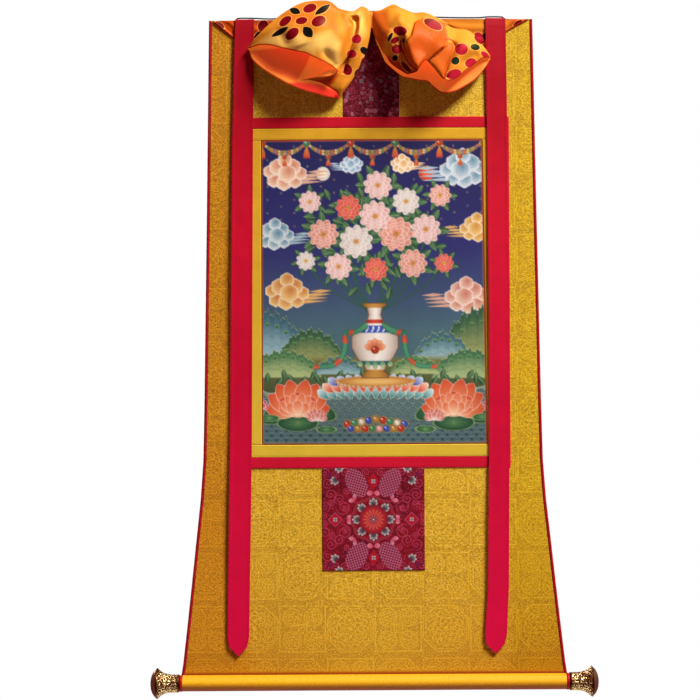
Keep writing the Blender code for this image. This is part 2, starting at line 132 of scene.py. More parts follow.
# Run down the cloth to the sleeve's seam, to where the painted shade on its underside begins, to the middle
# of its painted highlight band and to the end of the lining.
SLEEVE_SEAM, SLEEVE_UNDER, SLEEVE_HIGHLIGHT, LINING_END = 886.0, 930.5, 935.0, 897.0
DAMASK_CELL, FRET = (65.0, 72.0), 4.2   # one octagon or square, across and down, and one step of the fret
GROUND, FIGURE, FLECK, LINING = (187, 139, 11), (214, 170, 30), (236, 208, 96), (176, 128, 52)
# The sleeve's own colour, and the painted shade on its underside.
SLEEVE_FACE, SLEEVE_SHADE = (214, 158, 2), (164, 72, 6)
PAINTED_SHADE_KEPT, PAINTED_LIGHT_KEPT = (0.83, 0.57, 0.28), (0.88, 0.89, 0.36)     # what is kept of a colour: painted shade left and towards the foot, painted light right
# Where the colour begins to change, and over how far: painted shade to the left, painted light to the right
# and painted shade down.
PAINTED_SHADE_LEFT, PAINTED_LIGHT_RIGHT, PAINTED_SHADE_FOOT = (165.0, 35.0), (170.0, 25.0), (560.0, 330.0)
OFF_PRINT = 99.0                        # a mark's value on a reverse that it doesn't reach


def smooth(low, high, value):
    """Smooth step: 3t^2 - 2t^3 of the share t of the way from low to high."""
    t = np.clip((value - low) / (high - low), 0.0, 1.0)
    return t * t * (3.0 - 2.0 * t)


def half_width(z):
    """Half width of the scroll at a height, in straight runs between the rows."""
    table = np.array(OUTLINE[::-1], float)
    return np.interp(z, table[:, 0], table[:, 1])


def hang(x, z):
    """Depth of the hung face: a parabola across that fades to the rod, and slow waves."""
    bow = BOW * (1 - np.minimum(np.abs(x) / half_width(z), 1) ** 2) * smooth(*BOW_FADES, z)
    waves = 0.30 * np.sin(x / 58 + z / 170) + 0.25 * np.sin(x / 33 - z / 95 + 2)
    return -bow - waves * smooth(ROD_HEIGHT, -820, z) * smooth(0, -60, z)


def dye(red, green, blue):
    """Linear colour of a screen colour given from 0 to 255."""
    value = np.array([red, green, blue]) / 255
    return tuple(np.where(value < 0.04045, value / 12.92, ((value + 0.055) / 1.055) ** 2.4)) + (1.0,)


def grid_mesh(name, face, cloth, thickness=0.0, marks=(), paint=None, tube=False):
    """Mesh of a grid of points in mm, whose rows run down and columns to the right.

    cloth is a place on the flat cloth for each point. With a thickness the same
    grid, moved back along its normals, is the reverse side, and strips close the
    four edges. marks are (name, values, on the reverse too) and paint is a
    colour for each point of the face. A tube's last column meets its first.
    """
    rows, columns = face.shape[:2]
    count = rows * columns
    points = face.reshape(-1, 3)
    number = np.arange(count).reshape(rows, columns)
    right = np.roll(number, -1, 1) if tube else number[:, 1:]
    left = number if tube else number[:, :-1]
    quads = [np.stack([left[:-1], left[1:], right[1:], right[:-1]], -1).reshape(-1, 4)]
    if thickness:
        normal = np.cross(np.gradient(face, axis=0), np.gradient(face, axis=1))
        normal /= np.maximum(np.linalg.norm(normal, axis=2, keepdims=True), 1e-9)
        points = np.concatenate([points, (face - normal * thickness).reshape(-1, 3)])
        quads.append(quads[0][:, ::-1] + count)
        for edge in (number[:, 0], number[-1], number[::-1, -1], number[0, ::-1]):
            quads.append(np.stack([edge[1:], edge[:-1], edge[:-1] + count, edge[1:] + count], -1))
        marks = (*marks, ("reverse", np.repeat((0.0, 1.0), count), True))
    quads = np.concatenate(quads)
    mesh = bpy.data.meshes.new(name)
    mesh.vertices.add(len(points))
    mesh.vertices.foreach_set("co", (points * MM).ravel())
    mesh.loops.add(quads.size)
    mesh.loops.foreach_set("vertex_index", quads.ravel())
    mesh.polygons.add(len(quads))
    mesh.polygons.foreach_set("loop_start", np.arange(0, quads.size, 4))
    mesh.update(calc_edges=True)
    mesh.shade_smooth()
    mesh.set_sharp_from_angle(angle=math.radians(55))
    flat = cloth.reshape(-1, 2)
    unit = (flat - flat.min(0)) / np.ptp(flat, axis=0)
    if thickness:
        unit = np.concatenate([unit * (0.495, 1), unit * (-0.495, 1) + (1, 0)])
        flat = np.concatenate([flat, flat])
    for layer, place in (("cloth", flat * MM), ("OFBake", unit)):
        mesh.uv_layers.new(name=layer).data.foreach_set("uv", place[quads.ravel()].ravel())
    for label, values, on_reverse in marks:
        values = np.ravel(values)
        if thickness and values.size == count:
            values = np.concatenate([values, values if on_reverse else 0 * values + OFF_PRINT])
        mesh.attributes.new(label, "FLOAT", "POINT").data.foreach_set("value", values)
    if paint is not None:
        colour = np.ones((len(points), 4))
        colour[:count, :3] = paint.reshape(-1, 3)
        attribute = mesh.color_attributes.new("paint", "FLOAT_COLOR", "POINT")
        attribute.data.foreach_set("color", colour.ravel())
    return mesh


def place_piece(name, mesh, finish, slot, *nodes):
    """Link a piece, give it its finish, and let it stand for its CAD nodes."""
    mesh.materials.append(finish.made)
    piece = bpy.data.objects.new(name, mesh)
    bpy.context.scene.collection.objects.link(piece)
    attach(piece, "root")
    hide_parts(*nodes)
    return piece


class Wire:
    """A node's socket that takes part in arithmetic."""

    def __init__(self, finish, socket):
        self.finish, self.socket = finish, socket

    def math(self, operation, *others, clamp=False):
        """Math node on this value and the others, in order."""
        return self.finish.node("ShaderNodeMath", {"operation": operation, "use_clamp": clamp},
                                dict(enumerate((self, *others))))

    def __add__(self, other):
        return self.math("ADD", other)

    def __sub__(self, other):
        return self.math("SUBTRACT", other)

    def __rsub__(self, other):
        return self.finish.node("ShaderNodeMath", {"operation": "SUBTRACT"}, {0: other, 1: self})

    def __mul__(self, other):
        return self.math("MULTIPLY", other)

    def __truediv__(self, other):
        return self.math("DIVIDE", other)

    __radd__, __rmul__ = __add__, __mul__

    def clamped(self):
        """The value held from 0 to 1."""
        return self.math("ADD", 0.0, clamp=True)

    def aside(self, pitch):
        """Distance from the middle of each step of a repeat, as a share of the step."""
        return ((self / pitch).math("FRACT") - 0.5).math("ABSOLUTE")

    def band(self, at, width):
        """1 where the value is at, falling to 0 over width on each side."""
        return (1.0 - (self - at).math("ABSOLUTE") / width).math("MAXIMUM", 0.0)

    def past(self, begins, run):
        """0 up to where it begins, then rising to 1 over a run."""
        return ((self - begins) / run).clamped()

    def below(self, edge, blur):
        """1 below the edge and 0 above it, over a short blur."""
        return ((edge - self) / blur + 0.5).clamped()


class Finish:
    """A material whose shader is written as expressions on wires."""

    def __init__(self, name, **constants):
        self.made = bpy.data.materials.new(name)
        self.made.use_nodes = True
        self.tree = self.made.node_tree
        self.shader = self.tree.nodes["Principled BSDF"]
        for socket, value in constants.items():
            self.shader.inputs[socket.replace("_", " ")].default_value = value

    def node(self, kind, settings, sockets, outlet=0):
        """Add a node: its settings first, then a value or a wire for each socket."""
        made = self.tree.nodes.new(kind)
        for setting, value in settings.items():
            setattr(made, setting, value)
        for socket, value in sockets.items():
            if isinstance(value, Wire):
                self.tree.links.new(value.socket, made.inputs[socket])
            else:
                made.inputs[socket].default_value = value
        return Wire(self, made.outputs[outlet])

    def flat(self):
        """Places across and down the flat cloth, in millimetres."""
        place = self.node("ShaderNodeUVMap", {"uv_map": "cloth"}, {})
        parts = self.node("ShaderNodeVectorMath", {"operation": "SCALE"}, {0: place, 3: 1000.0})
        return [self.node("ShaderNodeSeparateXYZ", {}, {0: parts}, outlet) for outlet in (0, 1)]

    def mark(self, label):
        """A value kept on the mesh."""
        return self.node("ShaderNodeAttribute", {"attribute_name": label}, {}, "Fac")

    def noise(self, size, stretch=(1.0, 1.0, 1.0), detail=2.0):
        """Noise from 0 to 1 with grains of a size in mm, longer along an axis by its stretch."""
        place = self.node("ShaderNodeTexCoord", {}, {}, "Object")
        scale = Vector([1000.0 / size / part for part in stretch])
        place = self.node("ShaderNodeVectorMath", {"operation": "MULTIPLY"}, {0: place, 1: scale})
        return self.node("ShaderNodeTexNoise", {}, {"Vector": place, "Scale": 1.0, "Detail": detail})

    def mix(self, share, under, over):
        """Colour between two, by a share from 0 to 1."""
        return self.node("ShaderNodeMix", {"data_type": "RGBA"}, {0: share, 6: under, 7: over}, 2)

    def shade(self, colour, value):
        """Colour made lighter or darker by a value round 1."""
        return self.node("ShaderNodeVectorMath", {"operation": "SCALE"}, {0: colour, 3: value})

    def tinted(self, colour, share, kept):
        """Colour of which so much red, green and blue is kept, by a share from 0 to 1."""
        return self.mix(share, colour,
                        self.node("ShaderNodeVectorMath", {"operation": "MULTIPLY"}, {0: colour, 1: kept}))

    def surface(self, colour, roughness, relief, depth=1.0):
        """Join the colour, the roughness and a relief whose unit is depth in mm."""
        for socket, value in (("Base Color", colour), ("Roughness", roughness)):
            self.tree.links.new(value.socket, self.shader.inputs[socket])
        bump = self.node("ShaderNodeBump", {}, {"Strength": 1.0, "Distance": depth * MM, "Height": relief})
        self.tree.links.new(bump.socket, self.shader.inputs["Normal"])
        return self


def damask(across, down):
    """Figure of the damask, from 0, ground, to 1: octagons and squares in a checkerboard.

    Even cells hold a double octagon line round a scalloped roundel and an
    eight-petalled flower. Odd cells hold four small roundels round a square.
    """
    column, row = across / DAMASK_CELL[0], down / DAMASK_CELL[1]
    left, top = column.math("FLOOR"), row.math("FLOOR")
    odd = ((left + top) / 2).math("FRACT") * 2
    x = (column - left - 0.5).math("ABSOLUTE") * DAMASK_CELL[0]
    y = (row - top - 0.5).math("ABSOLUTE") * DAMASK_CELL[1]
    around = y.math("ARCTAN2", x)
    radius = (x * x + y * y).math("SQRT")
    octagon = x.math("MAXIMUM", y).math("MAXIMUM", (x + y) * 0.7071)
    scallop = (around * 16).math("COSINE")
    petal = (around * 8).math("COSINE")
    even = (octagon.band(31, 2.0) + octagon.band(27.5, 1.1) + (radius - scallop * 1.4).band(23, 2.0)
            + radius.band(18.5, 1.5) + (radius + petal * 2.5).band(13.5, 2.3)
            + (radius - petal * 1.5).band(8, 1.7) + radius.below(3, 1.8))
    near = ((x - 14) * (x - 14) + (y - 15.5) * (y - 15.5)).math("SQRT")
    square = x.math("MAXIMUM", y)
    turned = (y - 15.5).math("ARCTAN2", x - 14)
    four = (near.band(11.8, 2.0) + near.band(8.6, 1.2) + (near + (turned * 5).math("COSINE")).band(5, 2.0)
            + near.below(1.8, 1.4) + square.band(5.5, 1.4) + square.band(2.6, 1.0)
            + square.band(31, 2.0))
    figure = (even + (four - even) * odd).math("MINIMUM", 1.0)
    fret = across.aside(FRET).math("MAXIMUM", down.aside(FRET))
    fret = fret.band(0.42, 0.11) + fret.band(0.16, 0.10)
    return (figure + fret * 0.4 * (1.0 - figure)).math("MINIMUM", 1.0)


def brocade(name):
    """Silk damask: lighter smooth figure on a grainy ground, with painted shade down its left side and
    towards the rod and painted light, yellower, down its right side; a plain bright sleeve with a painted
    highlight band and painted shade underneath; and a plain lined reverse."""
    silk = Finish(name, Specular_IOR_Level=0.2)
    across, down = silk.flat()
    flat = down.below(SLEEVE_SEAM, 4.0)
    sleeve = 1.0 - flat
    woven = damask(across, down) * flat
    grain = silk.noise(2.1, (1.3, 1.0, 0.8), 1.5)
    slub = silk.noise(26, (3.0, 1.0, 1.0))
    thread = (across * 9.0).math("SINE") * 0.5 + (down * 7.0).math("SINE") * 0.5
    colour = silk.mix(woven * 0.8 + grain * 0.4 - 0.1 + sleeve * 0.6, dye(*GROUND), dye(*FIGURE))
    colour = silk.mix(silk.noise(1.3) * 3.0 - 1.4, colour, dye(*FLECK))
    # Painted shade down the left side, where the cloth turns from the light, and towards the rod, most at the
    # sides; painted light, yellower, down the right side.
    left = (across * -1.0).past(*PAINTED_SHADE_LEFT) * 0.95
    right = across.past(*PAINTED_LIGHT_RIGHT) * flat
    foot = down.past(*PAINTED_SHADE_FOOT)
    sides = 0.35 + (across / 230.0).math("ABSOLUTE") * 0.6
    deep = (left + foot * foot * sides).math("MINIMUM", 1.0) * (0.15 + flat * 0.85)
    colour = silk.tinted(silk.tinted(colour, right, PAINTED_LIGHT_KEPT), deep, PAINTED_SHADE_KEPT)
    colour = silk.mix(sleeve * 0.8, colour, dye(*SLEEVE_FACE))
    # Painted shade on the underside of the sleeve.
    colour = silk.mix(sleeve * down.below(SLEEVE_UNDER, 14.0), colour, dye(*SLEEVE_SHADE))
    # A band across the front of the sleeve is made brighter: a painted highlight.
    colour = silk.shade(colour, 0.13 + grain * (1.5 - woven * 0.6) * (0.3 + flat * 0.7) + woven * 0.38
                        + slub * flat * 0.2 + sleeve * (0.46 + down.band(SLEEVE_HIGHLIGHT, 9.0) * 0.42))
    lined = silk.mark("lined")
    colour = silk.mix(lined, colour, silk.shade(dye(*LINING)[:3], 0.85 + slub * 0.3))
    relief = woven * 0.12 + grain * 0.10 + thread * 0.015
    return silk.surface(colour, 0.62 - woven * 0.14 - lined * 0.02, relief)


flat_rows = np.linspace(0, ROD_HEIGHT, FACE_ROWS)
wrap = np.radians(np.linspace(0, SLEEVE_TURN, SLEEVE_ROWS + 1)[1:])
inside, rod_depth = SLEEVE_RADIUS - PANEL_THICKNESS, PANEL_THICKNESS - SLEEVE_RADIUS
half = np.concatenate([half_width(flat_rows), np.full(SLEEVE_ROWS, FOOT_HALF)]) - PIPING_WIDTH - 0.05
across = half[:, None] * np.linspace(-1, 1, PANEL_COLUMNS)[None]
height = np.concatenate([flat_rows, ROD_HEIGHT - inside * np.sin(wrap)])[:, None] + 0 * across
depth = np.concatenate([hang(across[:FACE_ROWS], height[:FACE_ROWS]),
                        (rod_depth + inside * np.cos(wrap))[:, None] + 0 * across[FACE_ROWS:]])
run = np.concatenate([-flat_rows, -ROD_HEIGHT + SLEEVE_RADIUS * wrap])[:, None] + 0 * across
lined = np.concatenate([0 * run, run < LINING_END])
panel = place_piece(
    "silk_panel",
    grid_mesh("silk_panel", np.stack([across, depth, height], 2), np.stack([across, run], 2),
              PANEL_THICKNESS - 0.2, [("lined", lined, True)]),
    brocade("yellow_damask"), "gold_brocade", "brocade_panel")

# ---- Piping ---------------------------------------------------------------
# A cord wrapped in dark red satin cut on the bias, sewn into both side seams
# and carried round the ends of the sleeve.
PIPING_THICKNESS, PIPING_TURN, PIPING_PUCKER = 3.0, 308.0, 0.035
FOOT_DRIFT, HEAD_SHADE_RUN = (127.5, 850.0), 300.0      # runs down a silk over which its colour drifts to the foot, and over which the painted shade at the head fades out
SIDE_RINGS, END_RINGS, PIPING_AROUND = 420, 89, 16


def close_poles(mesh):
    """Merge the points that meet where a surface closes on itself."""
    builder = bmesh.new()
    builder.from_mesh(mesh)
    bmesh.ops.remove_doubles(builder, verts=builder.verts, dist=0.000002)
    builder.to_mesh(mesh)
    builder.free()
    return mesh


def tube_mesh(name, centres, wide, thick, around):
    """Round piece along a path: each ring is an ellipse across the path, closed at both ends.

    wide and thick are the half sizes of each ring; the wide way is held as
    near to X as the path lets it.
    """
    along = np.gradient(centres, axis=0)
    along /= np.linalg.norm(along, axis=1, keepdims=True)
    side = np.array([1.0, 0, 0]) - along * along[:, :1]
    flat_way = np.linalg.norm(side, axis=1, keepdims=True)
    side = np.where(flat_way > 0.3, side, np.cross(along, [0, -1.0, 0]))
    side /= np.linalg.norm(side, axis=1, keepdims=True)
    out = np.cross(along, side)
    turn = np.linspace(0, math.tau, around, endpoint=False)
    ring = (side[:, None] * (np.sin(turn)[None] * wide)[..., None]
            + out[:, None] * (np.cos(turn)[None] * thick)[..., None])
    points = centres[:, None] + ring
    points = np.concatenate([centres[None, :1].repeat(around, 1), points,
                             centres[None, -1:].repeat(around, 1)])
    run = np.concatenate([[0], np.cumsum(np.linalg.norm(np.diff(centres, axis=0), axis=1))])
    run = np.concatenate([run[:1] - 0.5, run, run[-1:] + 0.5])
    cloth = np.stack(np.broadcast_arrays(turn[None] / math.tau, run[:, None]), 2)
    return close_poles(grid_mesh(name, points, cloth, tube=True))


def satin(name, colour, glow, roughness=0.5, ribs=(0.0, 4.0), sheen=0.08, stitched=True, foot=None, painted_head_shade=0.0):
    """Plain silk: threads as fine ribs, slow streaks along them, and a paler wear; it may be darker at the
    head as painted shade, and its colour may drift to another at the foot."""
    silk = Finish(name, Specular_IOR_Level=0.14, Sheen_Weight=sheen, Sheen_Roughness=0.35, Sheen_Tint=glow)
    across, down = silk.flat()
    thread = (across * ribs[0] + down * ribs[1]).math("SINE")
    weave = silk.noise(0.9, detail=1.0)
    streak = silk.noise(9, (3.0, 1.0, 3.0))
    tone = silk.mix(streak * 0.9 - 0.2 + weave * 0.2, colour, glow)
    tone = silk.mix(0.9, glow, tone)
    if foot is not None:
        tone = silk.mix(down.past(*FOOT_DRIFT), tone, foot)
    # Darker towards the head: painted shade.
    tone = silk.shade(tone, (0.86 + weave * 0.16 + streak * 0.12)
                      * (1.0 - (1.0 - down / HEAD_SHADE_RUN).math("MAXIMUM", 0.0) * painted_head_shade))
    relief = thread * 0.02 + weave * 0.05 + streak * 0.05
    if stitched:
        edge = silk.mark("edge")
        stitch = edge.band(1.9, 0.45) * (across + down).aside(3.2).below(0.33, 0.1)
        relief = relief + stitch * 0.12 - edge.band(1.9, 0.9) * 0.1
        tone = silk.shade(tone, 1.0 - edge.band(2.2, 0.6) * 0.16)
    return silk.surface(tone, roughness + weave * 0.12, relief)


piping_red = satin("piping_red", dye(140, 6, 14), dye(184, 16, 26), 0.42, (40.0, 2.6), stitched=False)
wrap = np.radians(np.linspace(0, PIPING_TURN, END_RINGS + 1)[1:])
reach = SLEEVE_RADIUS - PANEL_THICKNESS / 2
heights = np.linspace(0, ROD_HEIGHT, SIDE_RINGS)
middle = np.concatenate([half_width(heights), np.full(END_RINGS, FOOT_HALF)]) - PIPING_WIDTH / 2
depths = np.concatenate([np.full(SIDE_RINGS, PANEL_THICKNESS / 2), rod_depth + reach * np.cos(wrap)])
heights = np.concatenate([heights, ROD_HEIGHT - reach * np.sin(wrap)])
pucker = 1 - PIPING_PUCKER * (0.5 + 0.5 * np.sin(np.arange(len(heights)) * 0.9))[:, None]
for name, side in (("piping_left", -1), ("piping_right", 1)):
    mesh = tube_mesh(name, np.stack([side * middle, depths, heights], 1), PIPING_WIDTH / 2 * pucker,
                     PIPING_THICKNESS / 2 * pucker, PIPING_AROUND)
    place_piece(name + "_cord", mesh, piping_red, "red_piping", name)

# ---- Frame strips ---------------------------------------------------------
# Folded strips of red satin and of plain gold silk, sewn flat round the
# painting. Their edges are turned under and pucker a little at the seams.
SEWN_HEIGHT, EDGE_ROLL = 1.15, 1.1
RED_TOP, RED_INNER_TOP, PAINTING_TOP = -132.5, -147.7, -163.5
PAINTING_BOTTOM, RED_INNER_BOTTOM, RED_BOTTOM = -577.0, -594.0, -609.0
PAINTING_LEFT, PAINTING_RIGHT = (-150.0, -151.0), (150.5, 155.5)    # at its top, at its bottom
STRIPS = (
    # node, silk, top (left, right, height), bottom (left, right, height)
    ("red_frame_top", "red_silk", (-187, 187, RED_TOP), (-187, 187, RED_INNER_TOP)),
    ("red_frame_bottom", "red_silk", (-187, 187, RED_INNER_BOTTOM), (-187, 187, RED_BOTTOM)),
    ("red_frame_left", "red_silk", (-187, -172, RED_INNER_TOP), (-187, -172, RED_INNER_BOTTOM)),
    ("red_frame_right", "red_silk", (172, 187, RED_INNER_TOP), (172, 187, RED_INNER_BOTTOM)),
    ("gold_frame_top", "plain_gold_silk", (-172, 172, RED_INNER_TOP), (-172, 172, PAINTING_TOP)),
    ("gold_frame_bottom", "plain_gold_silk", (-172, 172, PAINTING_BOTTOM), (-172, 172, RED_INNER_BOTTOM)),
    ("gold_frame_left", "plain_gold_silk", (-172, PAINTING_LEFT[0], PAINTING_TOP),
     (-172, PAINTING_LEFT[1], PAINTING_BOTTOM)),
    ("gold_frame_right", "plain_gold_silk", (PAINTING_RIGHT[0], 172, PAINTING_TOP),
     (PAINTING_RIGHT[1], 172, PAINTING_BOTTOM)),
)
STRIP_PITCH = 2.0               # from point to point, inside the rolled edges


def edge_steps(length, pitch, roll=EDGE_ROLL):
    """Places from 0 to a length: close together over the rolled edges, then by the pitch."""
    lip = roll * np.array([0, 0.06, 0.22, 0.5, 0.8, 1.1])
    inner = np.linspace(lip[-1], length - lip[-1], max(2, round(length / pitch)))
    return np.concatenate([lip[:-1], inner, length - lip[-2::-1]])


def sewn_piece(top, bottom, pitch, height=SEWN_HEIGHT, pucker=0.12):
    """Sewn-on piece: x and z run straight between its corners, and its face stands off
    the panel by a quarter circle over the rolled edge, with waves that die out inwards.

    Gives its points, their places on the flat cloth and their distances from the edge.
    """
    wide = edge_steps(top[1] - top[0], pitch)
    tall = edge_steps(top[2] - bottom[2], pitch)
    down, over = tall[:, None] / tall[-1], wide[None] / wide[-1]
    left = top[0] + (bottom[0] - top[0]) * down
    right = top[1] + (bottom[1] - top[1]) * down
    x = left + (right - left) * over
    z = top[2] - tall[:, None] + 0 * over
    edge = np.minimum(np.minimum(wide, wide[-1] - wide)[None], np.minimum(tall, tall[-1] - tall)[:, None])
    rise = np.sqrt(1 - (1 - np.minimum(edge / EDGE_ROLL, 1)) ** 2)
    waves = pucker * np.sin((x + z) / 1.15 + np.sin((x - z) / 19)) * np.exp(-edge / 2.2) * rise
    return np.stack([x, hang(x, z) - 0.05 - height * rise - waves, z], 2), np.stack([x, -z], 2), edge


def stretched_sheet(top, bottom):
    """Work out a sewn-on piece's width at its top and its height, in metres; neither is kept."""
    (top[1] - top[0]) * MM
    (top[2] - bottom[2]) * MM


silks = {
    "red_silk": satin("frame_red", dye(178, 5, 24), dye(200, 18, 42), foot=dye(203, 16, 52)),
    "plain_gold_silk": satin("frame_gold", dye(200, 144, 24), dye(222, 172, 42), 0.48, sheen=0.1,
                             foot=dye(214, 198, 64)),
}
for node, slot, top, bottom in STRIPS:
    face, cloth, edge = sewn_piece(top, bottom, STRIP_PITCH)
    strip = place_piece(node + "_strip", grid_mesh(node, face, cloth, marks=[("edge", edge, False)]),
                        silks[slot], slot, node)
    stretched_sheet(top, bottom)

# ---- Red brocade ----------------------------------------------------------
# Crimson brocade woven in several colours, cut as a square below the painting
# and as a strip above it. A rosette stands in a ring of lotus buds between
# pink lattices, with scrolls and silver buds in the corners.
PATCHES = (
    # piece, node, corners, pitch, centres of its rosettes, whether it shows their nets, how light it is,
    # below 1 as painted shade
    ("lower_patch_woven", "lower_brocade_patch", ((-69.5, 69.5, RED_BOTTOM), (-69.5, 69.5, -748.5)), 0.64,
     ((69.5, 70.0),), True, 1.0),
    ("upper_patch_woven", "upper_brocade_patch", ((-38.0, 38.0, -0.4), (-38.0, 38.0, RED_TOP)), 0.8,
     ((-27.0, 84.0), (103.0, 84.0), (38.0, 160.0)), False, 0.6),
)
TENDRILS = (
    # across and down from the rosette's centre, size, way round
    (58, 34, 9, 1), (62, 50, 8, -1), (38, 64, 7, 1), (46, 28, 8, -1), (66, 18, 8, 1), (52, 62, 6, -1),
    (66, 64, 7, 1), (38, 14, 5, 1), (10, 64, 6, -1), (57, 22, 5, -1), (36, 38, 5, 1), (67, 5, 5, -1),
)
CRIMSON, WINE, ROSE, PINK_THREAD = (140, 8, 28), (84, 4, 24), (188, 62, 90), (172, 80, 110)
SILVER, SLATE, SCARLET, PLUM = (206, 204, 192), (98, 96, 104), (176, 16, 38), (92, 26, 78)


class Drawing:
    """Coloured picture for a grid of points, in mm across and down from its top left corner.

    Each point has two by two samples round it; a shape is laid over what is
    there wherever its distance is below 0.
    """

    def __init__(self, across, down):
        self.x, self.y = ((place[:, None] + np.gradient(place)[:, None] * (-0.25, 0.25)).ravel()
                          for place in (across, down))
        self.ink = np.zeros((len(self.y), len(self.x), 3))

    def at(self, cx, cy, reach, turn=0.0):
        """The part of the grid round a place, and places in a frame turned there, in degrees."""
        rows = slice(*np.searchsorted(self.y, [cy - reach, cy + reach]))
        columns = slice(*np.searchsorted(self.x, [cx - reach, cx + reach]))
        dx, dy = self.x[None, columns] - cx, self.y[rows, None] - cy
        c, s = math.cos(math.radians(turn)), math.sin(math.radians(turn))
        return (rows, columns), dx * c + dy * s, -dx * s + dy * c

    def lay(self, part, distance, colour, blur=0.6, share=1.0):
        """Lay a colour, or a colour for each sample, where the distance is below 0."""
        cover = (np.clip(0.5 - distance / blur, 0, 1) * share)[..., None]
        self.ink[part] += (np.asarray(colour, float) / 255 - self.ink[part]) * cover

    def colours(self):
        """Mean linear colour of each point's samples."""
        rows, columns = self.ink.shape[0] // 2, self.ink.shape[1] // 2
        mean = np.clip(self.ink.reshape(rows, 2, columns, 2, 3).mean((1, 3)), 0, 1)
        return np.where(mean < 0.04045, mean / 12.92, ((mean + 0.055) / 1.055) ** 2.4)


def spot(cx, cy, wide, turn, tall=None):
    """Place on a circle, or an ellipse of those half sizes, round another, at a turn in degrees."""
    angle = math.radians(turn)
    return cx + wide * math.cos(angle), cy + (wide if tall is None else tall) * math.sin(angle)


def overlap(*distances):
    """Distance to where all the shapes overlap: the largest of their distances."""
    return np.maximum.reduce(np.broadcast_arrays(*distances))


def blend(first, last, share):
    """Colours between two, for an array of shares."""
    share = np.clip(share, 0, 1)[..., None]
    return np.asarray(first, float) * (1 - share) + np.asarray(last, float) * share


def petal(cloth, cx, cy, turn, long, wide, base, tip, rim=None, blur=0.6):
    """Petal from its base along the turn: half width times a sine that is fullest past the middle."""
    part, u, v = cloth.at(cx, cy, long * 1.1 + wide, turn)
    along = np.clip(u / long, 0, 1)
    half = wide * np.sin(math.pi * along ** 1.25) ** 0.7
    away = overlap(np.abs(v) - half, -u, u - long)
    cloth.lay(part, away, blend(base, tip, along), blur)
    if rim is not None:
        cloth.lay(part, np.abs(away + 0.25) - 0.3, rim, blur)


def oval(cloth, cx, cy, turn, long, wide, middle, edge, rim=None, blur=0.6):
    """Oval shaded from its middle to its edge."""
    part, u, v = cloth.at(cx, cy, max(long, wide) * 1.2 + 1, turn)
    reach = np.hypot(u / long, v / wide)
    away = (reach - 1) * min(long, wide)
    cloth.lay(part, away, blend(middle, edge, reach ** 2), blur)
    if rim is not None:
        cloth.lay(part, np.abs(away) - 0.35, rim, blur)


def ring(cloth, cx, cy, radius, width, colour, depth):
    """Line round a place in eight lobes: its radius waves by the size of a cosine of the turn."""
    part, u, v = cloth.at(cx, cy, radius + width + depth + 1)
    away = np.hypot(u, v) - radius - depth * np.abs(np.cos(4 * np.arctan2(v, u)))
    cloth.lay(part, np.abs(away) - width / 2, colour)


def scroll(cloth, cx, cy, turn, size, hand, colour, width):
    """Spiral line: the distance from the eye less a length for each turn round it."""
    part, u, v = cloth.at(cx, cy, size, turn)
    away, angle = np.hypot(u, v), np.arctan2(hand * v, u)
    pitch = size / 1.9
    arm = np.abs((away / pitch - angle / math.tau + 0.5) % 1.0 - 0.5) * pitch
    cloth.lay(part, np.maximum(arm - width / 2, away - size * 0.95), colour, 0.7)


def silver_bud(cloth, cx, cy, turn, size):
    """Lotus bud woven in silver: a fan of five pointed petals, dark at their hearts."""
    for lean, long in ((-62, 0.66), (62, 0.66), (-33, 0.86), (33, 0.86), (0, 1.0)):
        for reach, wide, base, tip in ((1.0, 0.21, (44, 30, 44), SILVER), (0.72, 0.07, (40, 34, 48), SLATE)):
            petal(cloth, cx, cy, turn + lean, size * long * reach, size * wide, base, tip, blur=0.4)
    oval(cloth, cx, cy, turn, size * 0.16, size * 0.22, (120, 50, 70), WINE)


def lattice(cloth, cx, cy, turn, long, wide):
    """Lozenge net of pink thread on a dark oval field."""
    part, u, v = cloth.at(cx, cy, long * 1.1, turn)
    field = (np.hypot(u / long, v / wide) - 1) * wide
    net = np.minimum(np.abs((u + v) / 4.8 % 1 - 0.5), np.abs((u - v) / 4.8 % 1 - 0.5))
    cloth.lay(part, field, (104, 8, 38), 2.5, 0.9)
    cloth.lay(part, np.maximum(field, (net - 0.13) * 4.8), (196, 112, 134), 0.6, 0.95)


